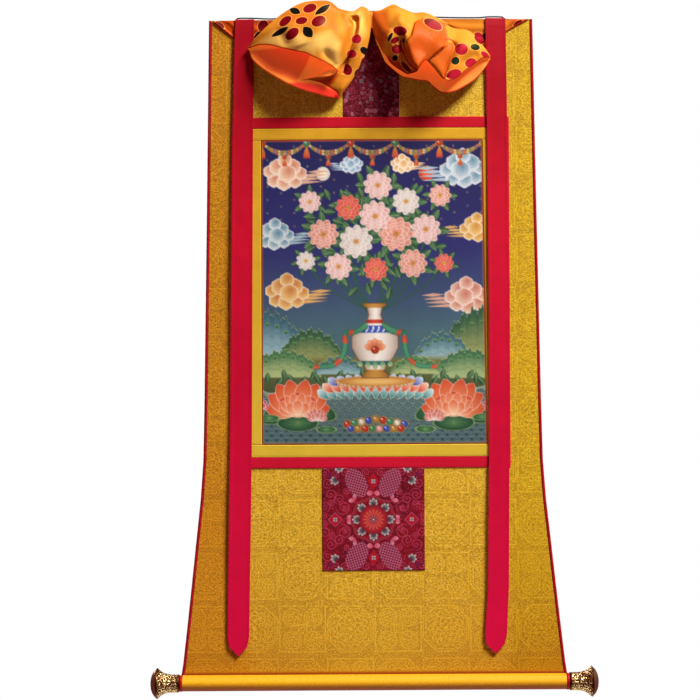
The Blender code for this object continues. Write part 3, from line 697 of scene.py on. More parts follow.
def rosette_cloth(cloth, cx, cy, nets):
    """One repeat of the brocade round its rosette, 140 mm square, with or without its nets."""
    for k in range(8):
        scroll(cloth, *spot(cx, cy, 44, 45 * k + 22.5), 60 * k, 11, (-1) ** k, ROSE, 0.9)
    for sx in (-1, 1):
        for sy in (-1, 1):
            if nets:
                lattice(cloth, cx + sx * 23, cy + sy * 50, sx * sy * 62, 21, 13.5)
            for u, v, size, hand in TENDRILS:
                scroll(cloth, cx + sx * u, cy + sy * v, 40 * u, size, hand * sx * sy, ROSE, 0.9)
            for u, v, tilt in ((50, 55, 40), (46, 73, 80)):
                silver_bud(cloth, cx + sx * u, cy + sy * v, -sy * tilt if sx > 0 else 180 + sy * tilt, 10)
            oval(cloth, cx + sx * 60, cy + sy * 61, 0, 4, 3, PLUM, CRIMSON)
        part, u, v = cloth.at(cx + sx * 52, cy, 14)
        away = np.abs(u) + np.abs(v) - 9.5
        cloth.lay(part, away, SCARLET, 0.8, 0.9 if nets else 0.2)
        cloth.lay(part, np.abs(away) - 0.6, PINK_THREAD, 0.7)
        for sy in (-1, 1):
            petal(cloth, cx + sx * 35, cy + sy, -sy * (90 + sx * 30), 8, 3.4, ROSE, (224, 140, 150))
        part, u, v = cloth.at(cx, cy + sx * 52, 16)
        cloth.lay(part, np.abs(u) * 1.6 + np.abs(v) - 12, SCARLET, 0.8, 0.9 if nets else 0.2)
        for lean in (-1, 1):
            back = 0 if lean > 0 else 180
            petal(cloth, cx, cy + sx * 37, 90 - 90 * lean - sx * lean * 14, 9, 3.6, ROSE, (222, 130, 146))
            petal(cloth, cx + lean * 24, cy + sx * 27, back - sx * lean * 10, 10, 3, ROSE, (222, 140, 156))
            petal(cloth, cx + lean * 24, cy + sx * 27, back + sx * lean * 70, 8, 2.6, ROSE, (206, 150, 164))
    for k in range(16):
        petal(cloth, *spot(cx, cy, 52, 90 * (k // 4)), 90 * k + 45, 3.4, 1.3, SLATE, SILVER, blur=0.5)
    oval(cloth, cx, cy, 0, 31, 31, (170, 36, 40), WINE, blur=0.8)
    ring(cloth, cx, cy, 29.0, 0.9, (196, 60, 80), 2.0)
    ring(cloth, cx, cy, 27.2, 0.5, (206, 110, 116), 1.8)
    for k in range(8):
        petal(cloth, *spot(cx, cy, 20, 45 * k + 22.5), 45 * k + 22.5, 8, 4, WINE, SCARLET)
    for k in range(8):
        silver_bud(cloth, *spot(cx, cy, 19.5, 45 * k), 45 * k, 10)
    oval(cloth, cx, cy, 0, 16, 16, (184, 50, 48), (164, 30, 38))
    for k in range(16):
        petal(cloth, cx, cy, 22.5 * k, 14.5, 1.5, (170, 36, 40), (206, 92, 74))
    for k in range(8):
        petal(cloth, cx, cy, 45 * k + 22.5, 5.6, 1.4, (150, 30, 44), (186, 150, 150), (100, 14, 36), 0.4)
    oval(cloth, cx, cy, 0, 1.8, 1.8, SILVER, ROSE, WINE)


def brocade_picture(across, down, centres, nets):
    """The patch's picture: a mottled crimson ground, each repeat that falls on it, and the twill;
    specks of pink thread lie under the nets, and flowers and specks over a patch without them."""
    cloth = Drawing(across, down)
    x, y = cloth.x[None], cloth.y[:, None]
    mottle = 0.5 + 0.25 * (np.sin(x / 3.1 + np.sin(y / 4.3)) * np.sin(y / 2.7 + np.sin(x / 5.1))
                           + np.sin(x / 17 + y / 23))
    cloth.ink[:] = blend(CRIMSON, WINE, mottle * 0.9) / 255
    if nets:
        specks = np.random.default_rng(7).random((1500, 4)) * (140, 140, 180, 0.7) + (0, 0, 0, 0.5)
        for cx, cy, lean, size in specks:
            oval(cloth, cx, cy, lean, size, size * 0.5, (204, 84, 112), CRIMSON, blur=0.4)
    for cx, cy in centres:
        rosette_cloth(cloth, cx, cy, nets)
    if not nets:
        chance = np.random.default_rng(4)
        for cx, cy, lean, size in chance.random((34, 4)) * (76, 76, 72, 0.9) + (0, 52, 0, 1.9):
            for k in range(5):
                petal(cloth, cx, cy, lean + 72 * k, size, size * 0.3, (120, 60, 80), SILVER, blur=0.4)
        for cx, cy, lean, size in chance.random((420, 4)) * (76, 132, 180, 0.9) + (0, 0, 0, 0.5):
            oval(cloth, cx, cy, lean, size, size * 0.6, (236, 120, 140), ROSE, blur=0.4)
    twill, thread = np.sin((x + y) * 3.4), np.sin(x * 5.2) * np.sin(y * 4.6)
    cloth.ink *= (0.98 + 0.035 * twill + 0.045 * thread)[..., None]
    return cloth.colours()


def coloured_cloth(name, threads, roughness, gloss):
    """Cloth that carries a picture on its points: crossed threads, and a soft slow wear."""
    cloth = Finish(name, Specular_IOR_Level=gloss)
    across, down = cloth.flat()
    picture = cloth.node("ShaderNodeAttribute", {"attribute_name": "paint"}, {}, "Color")
    weave = (across * threads).math("SINE") * (down * threads).math("SINE")
    grain, wear = cloth.noise(0.9, detail=1.0), cloth.noise(24)
    tone = cloth.shade(picture, 0.84 + grain * 0.14 + wear * 0.16 + weave * 0.04)
    return cloth.surface(tone, roughness + grain * 0.12, weave * 0.05 + grain * 0.05)


def sewn_picture(name, node, slot, finish, corners, pitch, height, pucker, picture):
    """Sewn-on piece whose picture is worked out for its own points."""
    top, bottom = corners
    face, cloth, _ = sewn_piece(top, bottom, pitch, height, pucker)
    colours = picture(edge_steps(top[1] - top[0], pitch), edge_steps(top[2] - bottom[2], pitch))
    piece = place_piece(name, grid_mesh(name, face, cloth, paint=colours), finish, slot, node)
    stretched_sheet(top, bottom)


crimson_brocade = coloured_cloth("crimson_brocade", 4.4, 0.56, 0.15)
# Each picture is scaled by its lightness: the upper patch is darkened as painted shade, where the pouches
# shade it.
for name, node, corners, pitch, centres, nets, light in PATCHES:
    sewn_picture(name, node, "red_brocade", crimson_brocade, corners, pitch, SEWN_HEIGHT, 0.10,
                 lambda across, down: brocade_picture(across, down, centres, nets) * light)

# ---- Painting -------------------------------------------------------------
# Mineral colours and gold on cotton, stretched in its silk frame. The picture
# is a plain ornamental one: a vase of peonies on a lotus stand in a pool,
# with curling clouds, hills, jewels and a garland along the top.
CANVAS_CORNERS = ((PAINTING_LEFT[0], PAINTING_RIGHT[0], PAINTING_TOP),
                  (PAINTING_LEFT[1], PAINTING_RIGHT[1], PAINTING_BOTTOM))
CANVAS_PITCH, CANVAS_HEIGHT, CANVAS_PUCKER = 1.24, SEWN_HEIGHT - 0.25, 0.05
# Places on the canvas, in mm: its middle, and lines across it, down from its top.
MIDDLE, SKY_LINE, BANK_LINE, STAND_LINE, POOL_LINE = 152, 140, 296, 322, 338
WHOLE = (slice(None), slice(None))
CORAL, BLUSH, GOLD_LEAF, BRONZE = (196, 78, 58), (226, 160, 136), (200, 146, 60), (140, 90, 34)
NIGHT, ULTRAMARINE, SKY_PALE, JEWEL_BLUE = (26, 24, 78), (40, 40, 104), (70, 104, 112), (60, 90, 190)
LEAF_DARK, LEAF_MID, LEAF_PALE, JEWEL_GREEN = (24, 66, 44), (56, 112, 66), (130, 166, 104), (64, 150, 96)
HILL_DARK, HILL_PALE, HILL_BLUE = (30, 76, 52), (152, 158, 94), (44, 86, 98)
VERMILION, TEAL, ROSE_RED, TASSEL_GREEN = (206, 60, 34), (46, 122, 118), (170, 34, 52), (60, 140, 96)
BEADS = (VERMILION, (236, 226, 196), (60, 140, 90), GOLD_LEAF, JEWEL_BLUE)
PEONY_DYES = (
    # pale, deep, heart, rim: coral, blush, white, rose red
    (BLUSH, CORAL, (160, 44, 40), (255, 244, 236)),
    ((232, 196, 184), (190, 92, 92), CORAL, (255, 244, 236)),
    ((222, 214, 200), (156, 144, 140), (196, 110, 90), (255, 244, 236)),
    ((222, 92, 66), (150, 28, 34), (100, 12, 28), (248, 170, 160)),
)
PEONIES = (
    # across, down, radius, kind (0 coral, 1 blush, 2 white, 3 rose red)
    (104, 172, 17, 1), (204, 168, 18, 0), (84, 128, 19, 0), (222, 122, 19, 1), (118, 92, 16, 3),
    (196, 84, 17, 2), (66, 84, 14, 1), (242, 76, 14, 0), (154, 176, 15, 3), (158, 62, 18, 1),
    (128, 138, 21, 2), (182, 128, 22, 0), (154, 104, 20, 1), (246, 168, 12, 3), (60, 164, 12, 2),
)
CLOUDS = (
    # across, down, size, colour of the edge and of the heart, side its tail streams to
    (34, 44, 15, (236, 204, 170), (200, 122, 92), 1), (272, 40, 16, (204, 218, 222), (92, 136, 158), -1),
    (20, 128, 13, (196, 216, 214), (84, 128, 148), 1), (290, 120, 12, (236, 200, 122), (206, 136, 56), -1),
    (36, 206, 15, (232, 192, 118), (196, 118, 54), 1), (274, 212, 15, (226, 190, 166), (190, 110, 88), -1),
    (122, 33, 8, (220, 236, 240), (110, 160, 190), -1), (192, 33, 8, (248, 226, 180), (224, 168, 96), 1),
)
CLOUD_LOBES = (
    # across and down from its middle, radius, as shares of its size
    (-1.1, 0.7, 0.62), (-0.2, 0.95, 0.66), (0.8, 0.8, 0.60), (-1.5, -0.1, 0.55), (1.3, 0.1, 0.58),
    (-0.8, -0.5, 0.70), (0.6, -0.5, 0.72), (-0.1, -1.1, 0.62), (0.1, 0.1, 0.80),
)
HILLS = (
    # across, foot, half width, height, colour of the top and of the foot; the last four stand on the bank
    (8, 300, 52, 66, HILL_BLUE, (150, 186, 190)), (296, 302, 56, 72, HILL_DARK, HILL_PALE),
    (66, 304, 44, 46, HILL_DARK, HILL_PALE), (242, 304, 40, 42, HILL_BLUE, (156, 190, 188)),
    (30, 322, 50, 36, (52, 104, 66), (172, 188, 124)), (278, 324, 50, 38, (44, 96, 66), (164, 184, 122)),
    (104, 318, 34, 24, HILL_BLUE, (150, 186, 184)), (206, 318, 34, 24, (52, 104, 66), (172, 188, 124)),
)
VASE_LIP, VASE_HEIGHT = 222, 101
VASE = (
    # down from the lip, half width
    (0, 15), (3, 15.5), (6, 10), (16, 8), (24, 11), (34, 24), (46, 31), (60, 31), (74, 24), (86, 14),
    (92, 12), (96, 17), (VASE_HEIGHT, 18),
)
VASE_BANDS = (
    # from, to, down from the lip, colour at the middle and at the sides
    (-1, 6, GOLD_LEAF, BRONZE), (22, 27, VERMILION, (130, 26, 20)), (78, 84, TEAL, (20, 70, 74)),
    (90, 102, GOLD_LEAF, BRONZE), (30, 40, (60, 90, 180), (26, 40, 100)),
)


def peony(cloth, cx, cy, radius, kind):
    """Open peony: rings of petals, each a scalloped oval, smaller and paler towards the heart."""
    pale, deep, heart, rim = PEONY_DYES[kind]
    for layer, (share, count) in enumerate(((1.0, 10), (0.76, 9), (0.54, 7), (0.32, 5))):
        long, wide = 0.42 * radius * (0.5 + 0.5 * share), 0.36 * radius * (0.45 + 0.55 * share)
        for k in range(count):
            turn = 360 / count * (k + 0.5 * (layer % 2)) + 11 * kind
            part, u, v = cloth.at(*spot(cx, cy, 0.62 * share * radius, turn), long * 1.5, turn)
            lobes = 1 + 0.10 * np.cos(5 * np.arctan2(v, u + long * 0.4))
            away = (np.hypot(u / long, v / wide) / lobes - 1) * min(long, wide)
            cloth.lay(part, away, blend(deep, pale, 0.5 + u / long * 0.5 + 0.16 * layer))
            veins = np.abs(np.sin(v / wide * 7)) * 0.25 * (u < long * 0.5)
            cloth.lay(part, away + 0.6, deep, share=veins * 0.7)
            cloth.lay(part, np.abs(away + 0.2) - 0.28, rim, share=0.9)
    oval(cloth, cx, cy, 0, radius * 0.17, radius * 0.15, GOLD_LEAF, heart)
    for k in range(7):
        oval(cloth, *spot(cx, cy, radius * 0.16, 360 * k / 7), 0, 0.9, 0.9, (250, 220, 120), GOLD_LEAF)


def leaf(cloth, cx, cy, turn, long, wide):
    """Leaf between two parabolas, dark at the stem, with a pale rib and side veins."""
    part, u, v = cloth.at(cx, cy, long * 1.2, turn)
    along = u / long
    away = overlap(np.abs(v) - wide * 4 * along * (1 - along) - 0.1, -u, u - long) * 0.85
    cloth.lay(part, away, blend(LEAF_DARK, LEAF_PALE, along * 0.55 + v / wide * 0.25 + 0.1))
    cloth.lay(part, overlap(np.abs(v) - 0.3, away), (168, 194, 128))
    veins = np.abs((u - np.abs(v) * 1.2) % (long / 5) - 0.4) - 0.25
    cloth.lay(part, overlap(veins, away + 0.6), LEAF_DARK, share=0.6)
    cloth.lay(part, np.abs(away) - 0.25, (20, 52, 38), share=0.8)


def cloud(cloth, cx, cy, size, edge, heart, way):
    """Curling cloud: overlapping round lobes, each with a spiral, and a streaming tail."""
    for k in range(4):
        part, u, v = cloth.at(cx + way * size * (1.4 + 0.5 * k), cy + size * (0.9 - 0.32 * k), size * 2.4)
        long = size * (2.1 - 0.35 * k)
        wide = size * 0.16 * np.clip(1 - np.abs(u / long), 0, 1)
        away = overlap(np.abs(v + 0.04 * u) - wide, np.abs(u) - long)
        cloth.lay(part, away, blend(edge, heart, 0.3 + 0 * u))
    for out, low, share in CLOUD_LOBES:
        radius = size * share
        px, py = cx + way * out * size, cy + low * size
        part, u, v = cloth.at(px, py, radius * 1.2)
        away = np.hypot(u, v) * (1 + 0.05 * np.cos(6 * np.arctan2(v, u))) - radius
        bright = np.hypot(u - radius * 0.2, v + radius * 0.35) / radius
        cloth.lay(part, away, blend(heart, edge, bright * 0.9 + 0.08))
        cloth.lay(part, np.abs(away + 0.3) - 0.35, (252, 250, 246))
        curl = blend(heart, edge, np.array(0.25))[None]
        scroll(cloth, px, py + radius * 0.1, 40 * out, radius * 0.55, way, curl, 0.6)


def hill(cloth, cx, foot, wide, high, top, low):
    """Rounded rocky hill, shaded from its top to its foot, with ridges and tufts."""
    part, u, v = cloth.at(cx, foot - high / 2, max(wide, high) * 1.05)
    rise = high / 2 - v
    bumps = 1 + 0.06 * np.cos(u * 0.5) + 0.04 * np.sin(u * 1.3)
    crest = high * np.clip(1 - (u / wide) ** 2, 0, 1) ** 0.6 * bumps
    away = overlap(rise - crest, -rise)
    cloth.lay(part, away, blend(low, top, np.clip(rise / np.maximum(crest, 1), 0, 1) ** 1.6))
    cloth.lay(part, np.abs(away) - 0.5, (214, 208, 140), share=(rise > 1) * 0.8)
    for k in range(1, 4):
        ridge = np.abs(rise - crest * (1 - 0.22 * k) - 1.5 * np.sin(u * 0.4 + k)) - 0.4
        cloth.lay(part, overlap(ridge, away), top, share=0.45)
    for k in range(-3, 4):
        tuft = cx + k * wide * 0.24, foot - high * (1 - (k * 0.24) ** 2) * 0.72
        for lean in (-28, 0, 28):
            petal(cloth, *tuft, -90 + lean, 5.5, 1.1, LEAF_DARK, (120, 170, 90))


def lotus(cloth, cx, cy, size, pale, deep):
    """Lotus seen from the side: a fan of petals, the outer ones first, and three in front."""
    fan = [(lean * way, long, 0.26, 0.0) for lean, long in ((78, 1.0), (56, 1.08), (34, 1.12), (14, 1.1))
           for way in (-1, 1)]
    for lean, long, wide, drop in fan + [(lean, 0.8, 0.27, 0.1) for lean in (-40, 40, 0)]:
        petal(cloth, cx, cy + size * drop, -90 + lean, size * long, size * wide, pale, deep, (252, 238, 230))


def jewel(cloth, cx, cy, radius, colour):
    """Round jewel with a bright spot and a gold rim."""
    dark = tuple(0.45 * part for part in colour)
    oval(cloth, cx, cy, 0, radius, radius, colour, dark, GOLD_LEAF)
    oval(cloth, cx - radius * 0.3, cy - radius * 0.35, 0, radius * 0.28, radius * 0.22, (255, 255, 255),
         colour)


def garland(cloth, left, right, top=5, sag=15, beads=16):
    """Swag of two lines of beads, each hung in a parabola, with a tassel at its foot."""
    middle = (left + right) / 2
    for line in (0, 5):
        for k in range(beads + 1):
            share = 2 * k / beads - 1
            drop = (sag - line) * (1 - share ** 2) + line * 0.2
            jewel(cloth, middle + share * (right - left) / 2, top + drop, 1.7, BEADS[(k + line) % 5])
    jewel(cloth, middle, top + sag + 3, 3.2, VERMILION)
    for lean in (-16, -5, 6, 17):
        petal(cloth, middle, top + sag + 6, 90 + lean, 10, 1.3, GOLD_LEAF, VERMILION)


def paint_sky(cloth, x, y):
    """Night sky that pales downwards, four-pointed stars in staggered rows, two discs and the clouds."""
    cloth.ink[:] = blend(NIGHT, ULTRAMARINE, y / 130) / 255
    cloth.lay(WHOLE, SKY_LINE - y, blend(ULTRAMARINE, SKY_PALE, (y - SKY_LINE) / 120), 60)
    u, v = x % 18 - 9, (y + 9 * (np.floor(x / 18) % 2)) % 18 - 9
    star = np.hypot(u, v) - 2.0 * (0.65 + 0.35 * np.cos(4 * np.arctan2(v, u)))
    cloth.lay(WHOLE, star, (112, 104, 96), share=smooth(150, 110, y))
    oval(cloth, 84, 46, 0, 9, 9, (252, 246, 226), (216, 210, 190), (250, 244, 220))
    oval(cloth, 224, 46, 0, 10, 10, (236, 92, 44), (190, 36, 30), GOLD_LEAF)
    for one in CLOUDS:
        cloud(cloth, *one)


def paint_land(cloth, y):
    """The far hills, a dark bank, the near hills on it, and a row of leaves along the water."""
    for one in HILLS[:4]:
        hill(cloth, *one)
    cloth.lay(WHOLE, BANK_LINE - y, blend((112, 116, 60), (52, 66, 42), (y - BANK_LINE) / 60), 8)
    for one in HILLS[4:]:
        hill(cloth, *one)
    for k in range(26):
        leaf(cloth, 8 + 11.6 * k, 330 + 5 * math.sin(k * 2.1), -90 + 34 * math.sin(k * 1.7), 15, 3.2)


def paint_pool(cloth, x, y):
    """Water below a wavy shore, in rows of scales: each a round shape cut off at its foot, with
    three rings in it."""
    shore = POOL_LINE + 4 * np.sin(x / 17) + 2 * np.sin(x / 6.3)
    cloth.lay(WHOLE, shore - y, blend((140, 160, 136), (34, 62, 72), (y - POOL_LINE) / 60))
    wide, tall = 13.0, 6.2
    for row in range(16):
        foot = POOL_LINE + 6 + row * tall
        u = (x + (row % 2) * wide / 2) % wide - wide / 2
        away, outside = np.hypot(u, (y - foot) * 1.15), overlap(y - foot, shore + 3 - y)
        cloth.lay(WHOLE, overlap(away - wide * 0.52, outside), blend((66, 108, 104), (36, 68, 82), away / 6))
        for reach in (0.50, 0.36, 0.22):
            line = np.abs(away - wide * reach) - 0.32
            cloth.lay(WHOLE, overlap(line, outside), (178, 186, 158), share=0.75)


def paint_lotuses(cloth):
    """On each side three ribbed leaves, a large double lotus, and two small ones on leaves of their own."""
    for way in (-1, 1):
        for lean, out, low in ((-24, 78, 366), (18, 128, 372), (0, 104, 384)):
            px = MIDDLE + way * out
            oval(cloth, px, low, way * lean, 27, 11, LEAF_MID, LEAF_DARK, (128, 160, 92))
            for turn in range(0, 360, 24):
                reach = 10.5 / math.hypot(*spot(0, 0, 0.4, turn, 1.0))
                petal(cloth, px, low, turn + way * lean, reach, 0.7, (120, 150, 90), LEAF_DARK)
        lotus(cloth, MIDDLE + way * 104, 372, 44, (246, 190, 128), (206, 72, 36))
        lotus(cloth, MIDDLE + way * 104, 371, 26, (250, 214, 170), (224, 104, 60))
        for out, low, size, pale, deep in ((66, 393, 14, (250, 240, 232), CORAL),
                                           (142, 377, 12, (246, 226, 200), ROSE_RED)):
            px = MIDDLE + way * out
            oval(cloth, px, low, 0, 13, 4.4, LEAF_MID, LEAF_DARK, (150, 180, 110))
            for turn in range(0, 360, 30):
                reach = 12 - 8 * abs(math.sin(math.radians(turn)))
                petal(cloth, px, low, turn, reach, 0.6, (120, 160, 100), LEAF_MID)
            lotus(cloth, px + way * 12, low - 13, size, pale, deep)


def paint_stand(cloth):
    """Three rows of petals fanned out under a gold plate rimmed with pearls, and two rows of jewels."""
    for layer, (count, half, long, pale, deep) in enumerate((
            (13, 62, 20, (226, 240, 236), TEAL), (12, 56, 19, (250, 220, 190), VERMILION),
            (11, 50, 17, (214, 226, 246), (48, 74, 160)))):
        for place in np.linspace(-1, 1, count):
            petal(cloth, MIDDLE + place * half, STAND_LINE + 30 - 9 * layer, -90 + place * 50, long, 5.8,
                  deep, pale, (250, 240, 210))
    oval(cloth, MIDDLE, STAND_LINE + 6, 0, 52, 7, (238, 196, 110), (180, 112, 44), GOLD_LEAF)
    for k in range(21):
        jewel(cloth, *spot(MIDDLE, STAND_LINE + 7, 50, 9 * k, 6.5), 1.6, (244, 236, 214))
    for k in range(9):
        jewel(cloth, MIDDLE + (k - 4) * 9.5, 386 - 7 * (1 - abs(k - 4) / 4), 5.2,
              (VERMILION, JEWEL_GREEN, (236, 224, 190), JEWEL_BLUE, GOLD_LEAF)[k % 5])
    for k in range(8):
        jewel(cloth, MIDDLE + (k - 3.5) * 9.5, 392, 5.0,
              (JEWEL_BLUE, GOLD_LEAF, VERMILION, JEWEL_GREEN, (240, 170, 170))[k % 5])


def paint_bouquet(cloth):
    """Stems that bend out from the vase by half a sine, leaves round each peony and among them,
    and the peonies."""
    for px, py, _, _ in PEONIES:
        for share in np.linspace(0, 1, 70):
            bend = 16 * math.sin(math.pi * share) * (1 if px > MIDDLE else -1)
            oval(cloth, MIDDLE + (px - MIDDLE) * share + bend, 236 + (py - 236) * share, 0, 1.0, 1.0,
                 LEAF_MID, LEAF_DARK)
    for px, py, radius, kind in PEONIES:
        for k in range(6):
            turn = 60 * k + 23 * kind + px
            leaf(cloth, *spot(px, py, radius * 0.55, turn), turn, radius * 1.15, radius * 0.27)
    for k in range(64):
        turn = 11.5 * k + 6
        reach = (44 if k % 2 else 74) + 14 * math.sin(k * 2.4)
        place = spot(MIDDLE, 128, 0.95 * reach, turn, 0.85 * reach)
        leaf(cloth, *place, turn + 30 * math.sin(k * 1.3), 17, 4.0)
    for one in PEONIES:
        peony(cloth, *one)


def paint_vase(cloth):
    """White vase whose half width runs straight between the rows of its profile, with bands, a
    wave, a fan of petals on its belly and a silk ribbon on each side."""
    table = np.array(VASE, float)
    part, u, v = cloth.at(MIDDLE, VASE_LIP + 50, 62)
    down = v + 50
    half = np.interp(down, table[:, 0], table[:, 1])
    away = overlap(np.abs(u) - half, -down, down - VASE_HEIGHT)
    side = u / np.maximum(half, 1)
    cloth.lay(part, away, blend((252, 246, 232), (170, 150, 130), side ** 2 * 0.9 + 0.12 * (side < 0)))
    for low, high, bright, dark in VASE_BANDS:
        cloth.lay(part, overlap(away, low - down, down - high), blend(bright, dark, side ** 2))
    wave = np.abs((u / 7.5 + 0.25 * np.sin(down / 3.0)) % 1 - 0.5)
    cloth.lay(part, overlap(away, (wave - 0.14) * 7, 31 - down, down - 39), (236, 240, 246))
    cloth.lay(part, np.abs(away) - 0.5, (120, 76, 40))
    for k in range(5):
        petal(cloth, MIDDLE, 284, -162 + 36 * k, 15, 4.6, VERMILION, (248, 190, 150), GOLD_LEAF)
        petal(cloth, MIDDLE + (k - 2) * 10, 300, 90, 12 - abs(k - 2) * 2, 3.4, TASSEL_GREEN, (190, 220, 180),
              GOLD_LEAF)
    jewel(cloth, MIDDLE, 285, 5.5, VERMILION)
    for way in (-1, 1):
        for k in range(46):
            share = k / 45
            pale, deep = ((96, 170, 120), (34, 96, 70)) if k % 12 < 8 else ((226, 110, 70), (160, 50, 34))
            oval(cloth, MIDDLE + way * (12 + 62 * share + 9 * math.sin(share * 7)),
                 246 + 66 * share + 7 * math.sin(share * 9 + 1), 70 + 60 * math.sin(share * 8),
                 5.2 - 2 * share, 2.4, pale, deep)


def painted_canvas(across, down):
    """The whole picture, laid from the sky forwards, with garlands and a painted border last."""
    cloth = Drawing(across, down)
    x, y = np.meshgrid(cloth.x, cloth.y)
    paint_sky(cloth, x, y)
    paint_land(cloth, y)
    paint_pool(cloth, x, y)
    paint_lotuses(cloth)
    paint_stand(cloth)
    paint_bouquet(cloth)
    paint_vase(cloth)
    for k in range(5):
        garland(cloth, 4 + 59.5 * k, 60 + 59.5 * k)
    for k in range(6):
        jewel(cloth, 2 + 60 * k, 5, 4.6, TASSEL_GREEN if k % 2 else VERMILION)
        for lean in (-12, 0, 12):
            petal(cloth, 2 + 60 * k, 9, 90 + lean, 17, 1.8, GOLD_LEAF, VERMILION)
    inwards = -overlap(-x, x - across[-1], -y, y - down[-1])
    cloth.lay(WHOLE, inwards - 1.6, (150, 40, 34))
    cloth.lay(WHOLE, np.abs(inwards - 1.8) - 0.3, GOLD_LEAF)
    cloth.ink *= (0.97 + 0.03 * np.sin(x * 4.1) * np.sin(y * 3.7) + 0.02 * np.sin(x / 31 + y / 47))[..., None]
    return cloth.colours()


sewn_picture("painted_canvas", "painting", "painted_canvas", coloured_cloth("canvas_paint", 5.2, 0.62, 0.25),
             CANVAS_CORNERS, CANVAS_PITCH, CANVAS_HEIGHT, CANVAS_PUCKER, painted_canvas)

# ---- Ribbons --------------------------------------------------------------
# Two long crimson ribbons, hemmed down both sides and pointed at the end.
# They are turned over the top edge of the mount and hang free in front.
RIBBON_THICKNESS, RIBBON_POINT, RIBBON_STAND = 0.7, 13.0, 3.6
TURN_ROWS, RIBBON_ROWS = 40, 240
RIBBONS = (
    # node, rows of (height, left edge, right edge)
    ("ribbon_left", ((-4, -184, -158), (-163, -189, -160.5), (-584, -194.5, -164.5), (-851, -199.5, -170))),
    ("ribbon_right", ((-4, 155.5, 183), (-380, 158, 186.5), (-600, 157, 185), (-770, 155, 183.5),
                      (-849, 150, 180))),
)
RIBBON_TURN = (
    # depth behind the face, height, over the top edge
    (2.9, -12), (2.9, -1), (2.2, 0.8), (0.6, 1.3), (-1.3, 1.0), (-2.4, 0), (-2.8, -3), (-3.4, -9),
)


def smooth_run(rows, steps):
    """Catmull-Rom curve through rows of numbers, with so many steps in all."""
    rows = np.array(rows, float)
    padded = np.concatenate([rows[:1], rows, rows[-1:]])
    place = np.linspace(0, len(rows) - 1, steps + 1)
    first = np.minimum(place.astype(int), len(rows) - 2)
    t = (place - first).reshape((-1,) + (1,) * (rows.ndim - 1))
    a, b, c, d = (padded[first + k] for k in range(4))
    return 0.5 * (2 * b + (c - a) * t + (2 * a - 5 * b + 4 * c - d) * t ** 2
                  + (3 * b - a - 3 * c + d) * t ** 3)


# The ribbons' heads are darker: painted shade where the pouches shade them.
ribbon_red = satin("ribbon_crimson", dye(182, 3, 24), dye(206, 10, 40), foot=dye(204, 3, 60), painted_head_shade=0.37)
turned = smooth_run(RIBBON_TURN, TURN_ROWS)
over = edge_steps(1.0, 0.05, 0.07)[None]
for node, rows in RIBBONS:
    last = rows[-1][0]
    hung = np.linspace(-11, last, RIBBON_ROWS)
    free = smooth(-9, -20, hung)
    # Below the turn it hangs in front of the face, in slow ripples on the way down.
    ripples = (0.35 * np.sin(hung / 47) - RIBBON_STAND) * free - 3.4 * (1 - free)
    stand = np.concatenate([turned[:, 0], ripples])
    z = np.concatenate([turned[:, 1], hung])
    table = np.array(rows[::-1], float)
    left, right = (np.interp(z, table[:, 0], table[:, k])[:, None] for k in (1, 2))
    narrow = 2.4 * smooth(last + 14, last, z)[:, None]
    x = left + narrow + (right - left - 2 * narrow) * over
    edge = np.minimum(over, 1 - over) * (right - left)
    point = RIBBON_POINT * (1 - np.abs(2 * over - 1)) * smooth(last + 30, last, z)[:, None]
    z = z[:, None] + 0 * over
    hem = 0.22 * smooth(3.2, 2.6, edge) - 0.10 * smooth(0.7, 0.0, edge)
    cup = 0.5 * np.sin(z / 71 + x[:, :1] / 50) * (2 * over - 1) * smooth(-20, -120, z)
    y = hang(x, z) + stand[:, None] - hem - cup
    run = np.concatenate([[0], np.cumsum(np.hypot(np.diff(stand), np.diff(z[:, 0])))])[:, None]
    mesh = grid_mesh(node, np.stack([x, y, z - point], 2), np.stack([x - left, run + point], 2),
                     RIBBON_THICKNESS, [("edge", edge, True)])
    ribbon = place_piece(node + "_silk", mesh, ribbon_red, "ribbon_silk", node)
    (-last + RIBBON_POINT / 2 + 16) * MM

# ---- Silk cover -----------------------------------------------------------
# The printed orange silk that covers the painting when it is put away is
# gathered up along the top edge: two pouches turn over it and open downwards,
# and a flat width behind them runs out to both corners.
# The reverse's glow is painted light, standing in for light through the thin silk.
COVER_THICKNESS, PAINTED_THROUGH_GLOW, LEAST_DEPTH = 0.5, 0.34, 2.6
POUCH_STATIONS, POUCH_LAYERS = 200, 130
# Sections of the pouches. Each row is one station along the fold on which the
# cloth turns over: the fold (x, z, depth in front of the panel), the belly of
# the front layer (depth), the front hem and the back hem (x, z, depth).
LEFT_POUCH = (
    (-167, -39, 9, 10.5, -165, -40, 11, -165, -42, 7.5),
    (-146, -16, 12, 17, -151, -37, 18, -160, -56, 12),
    (-119, 6, 13, 25, -135, -39, 27, -148, -68, 17),
    (-93, 20, 13, 32, -116, -45, 34, -134, -78, 21),
    (-68, 23, 13, 38, -97, -50, 38, -121, -86, 24),
    (-54, 21, 13, 40, -88, -52, 40, -114, -90, 25),
    (-42, 12, 12, 39, -78, -57, 40, -107, -93, 25),
    (-24, 9, 10, 35, -60, -65, 37, -97, -97, 24),
    (-12, 15, 10, 31, -50, -70, 33, -88, -100, 22),
    (-2, 8, 10, 28, -46, -76, 29, -81, -102, 20),
    (0, -15, 10, 24, -54, -81, 26, -75, -103, 18),
    (-7, -47, 10, 20, -83, -84, 23, -64, -106, 15),
    (-22, -77, 10, 18, -102, -88, 21, -54, -108, 13),
    (-30, -90, 10, 15, -84, -92, 18, -50, -108, 11),
    (-43, -107, 8, 10.5, -46, -105, 12, -43, -109, 8),
)
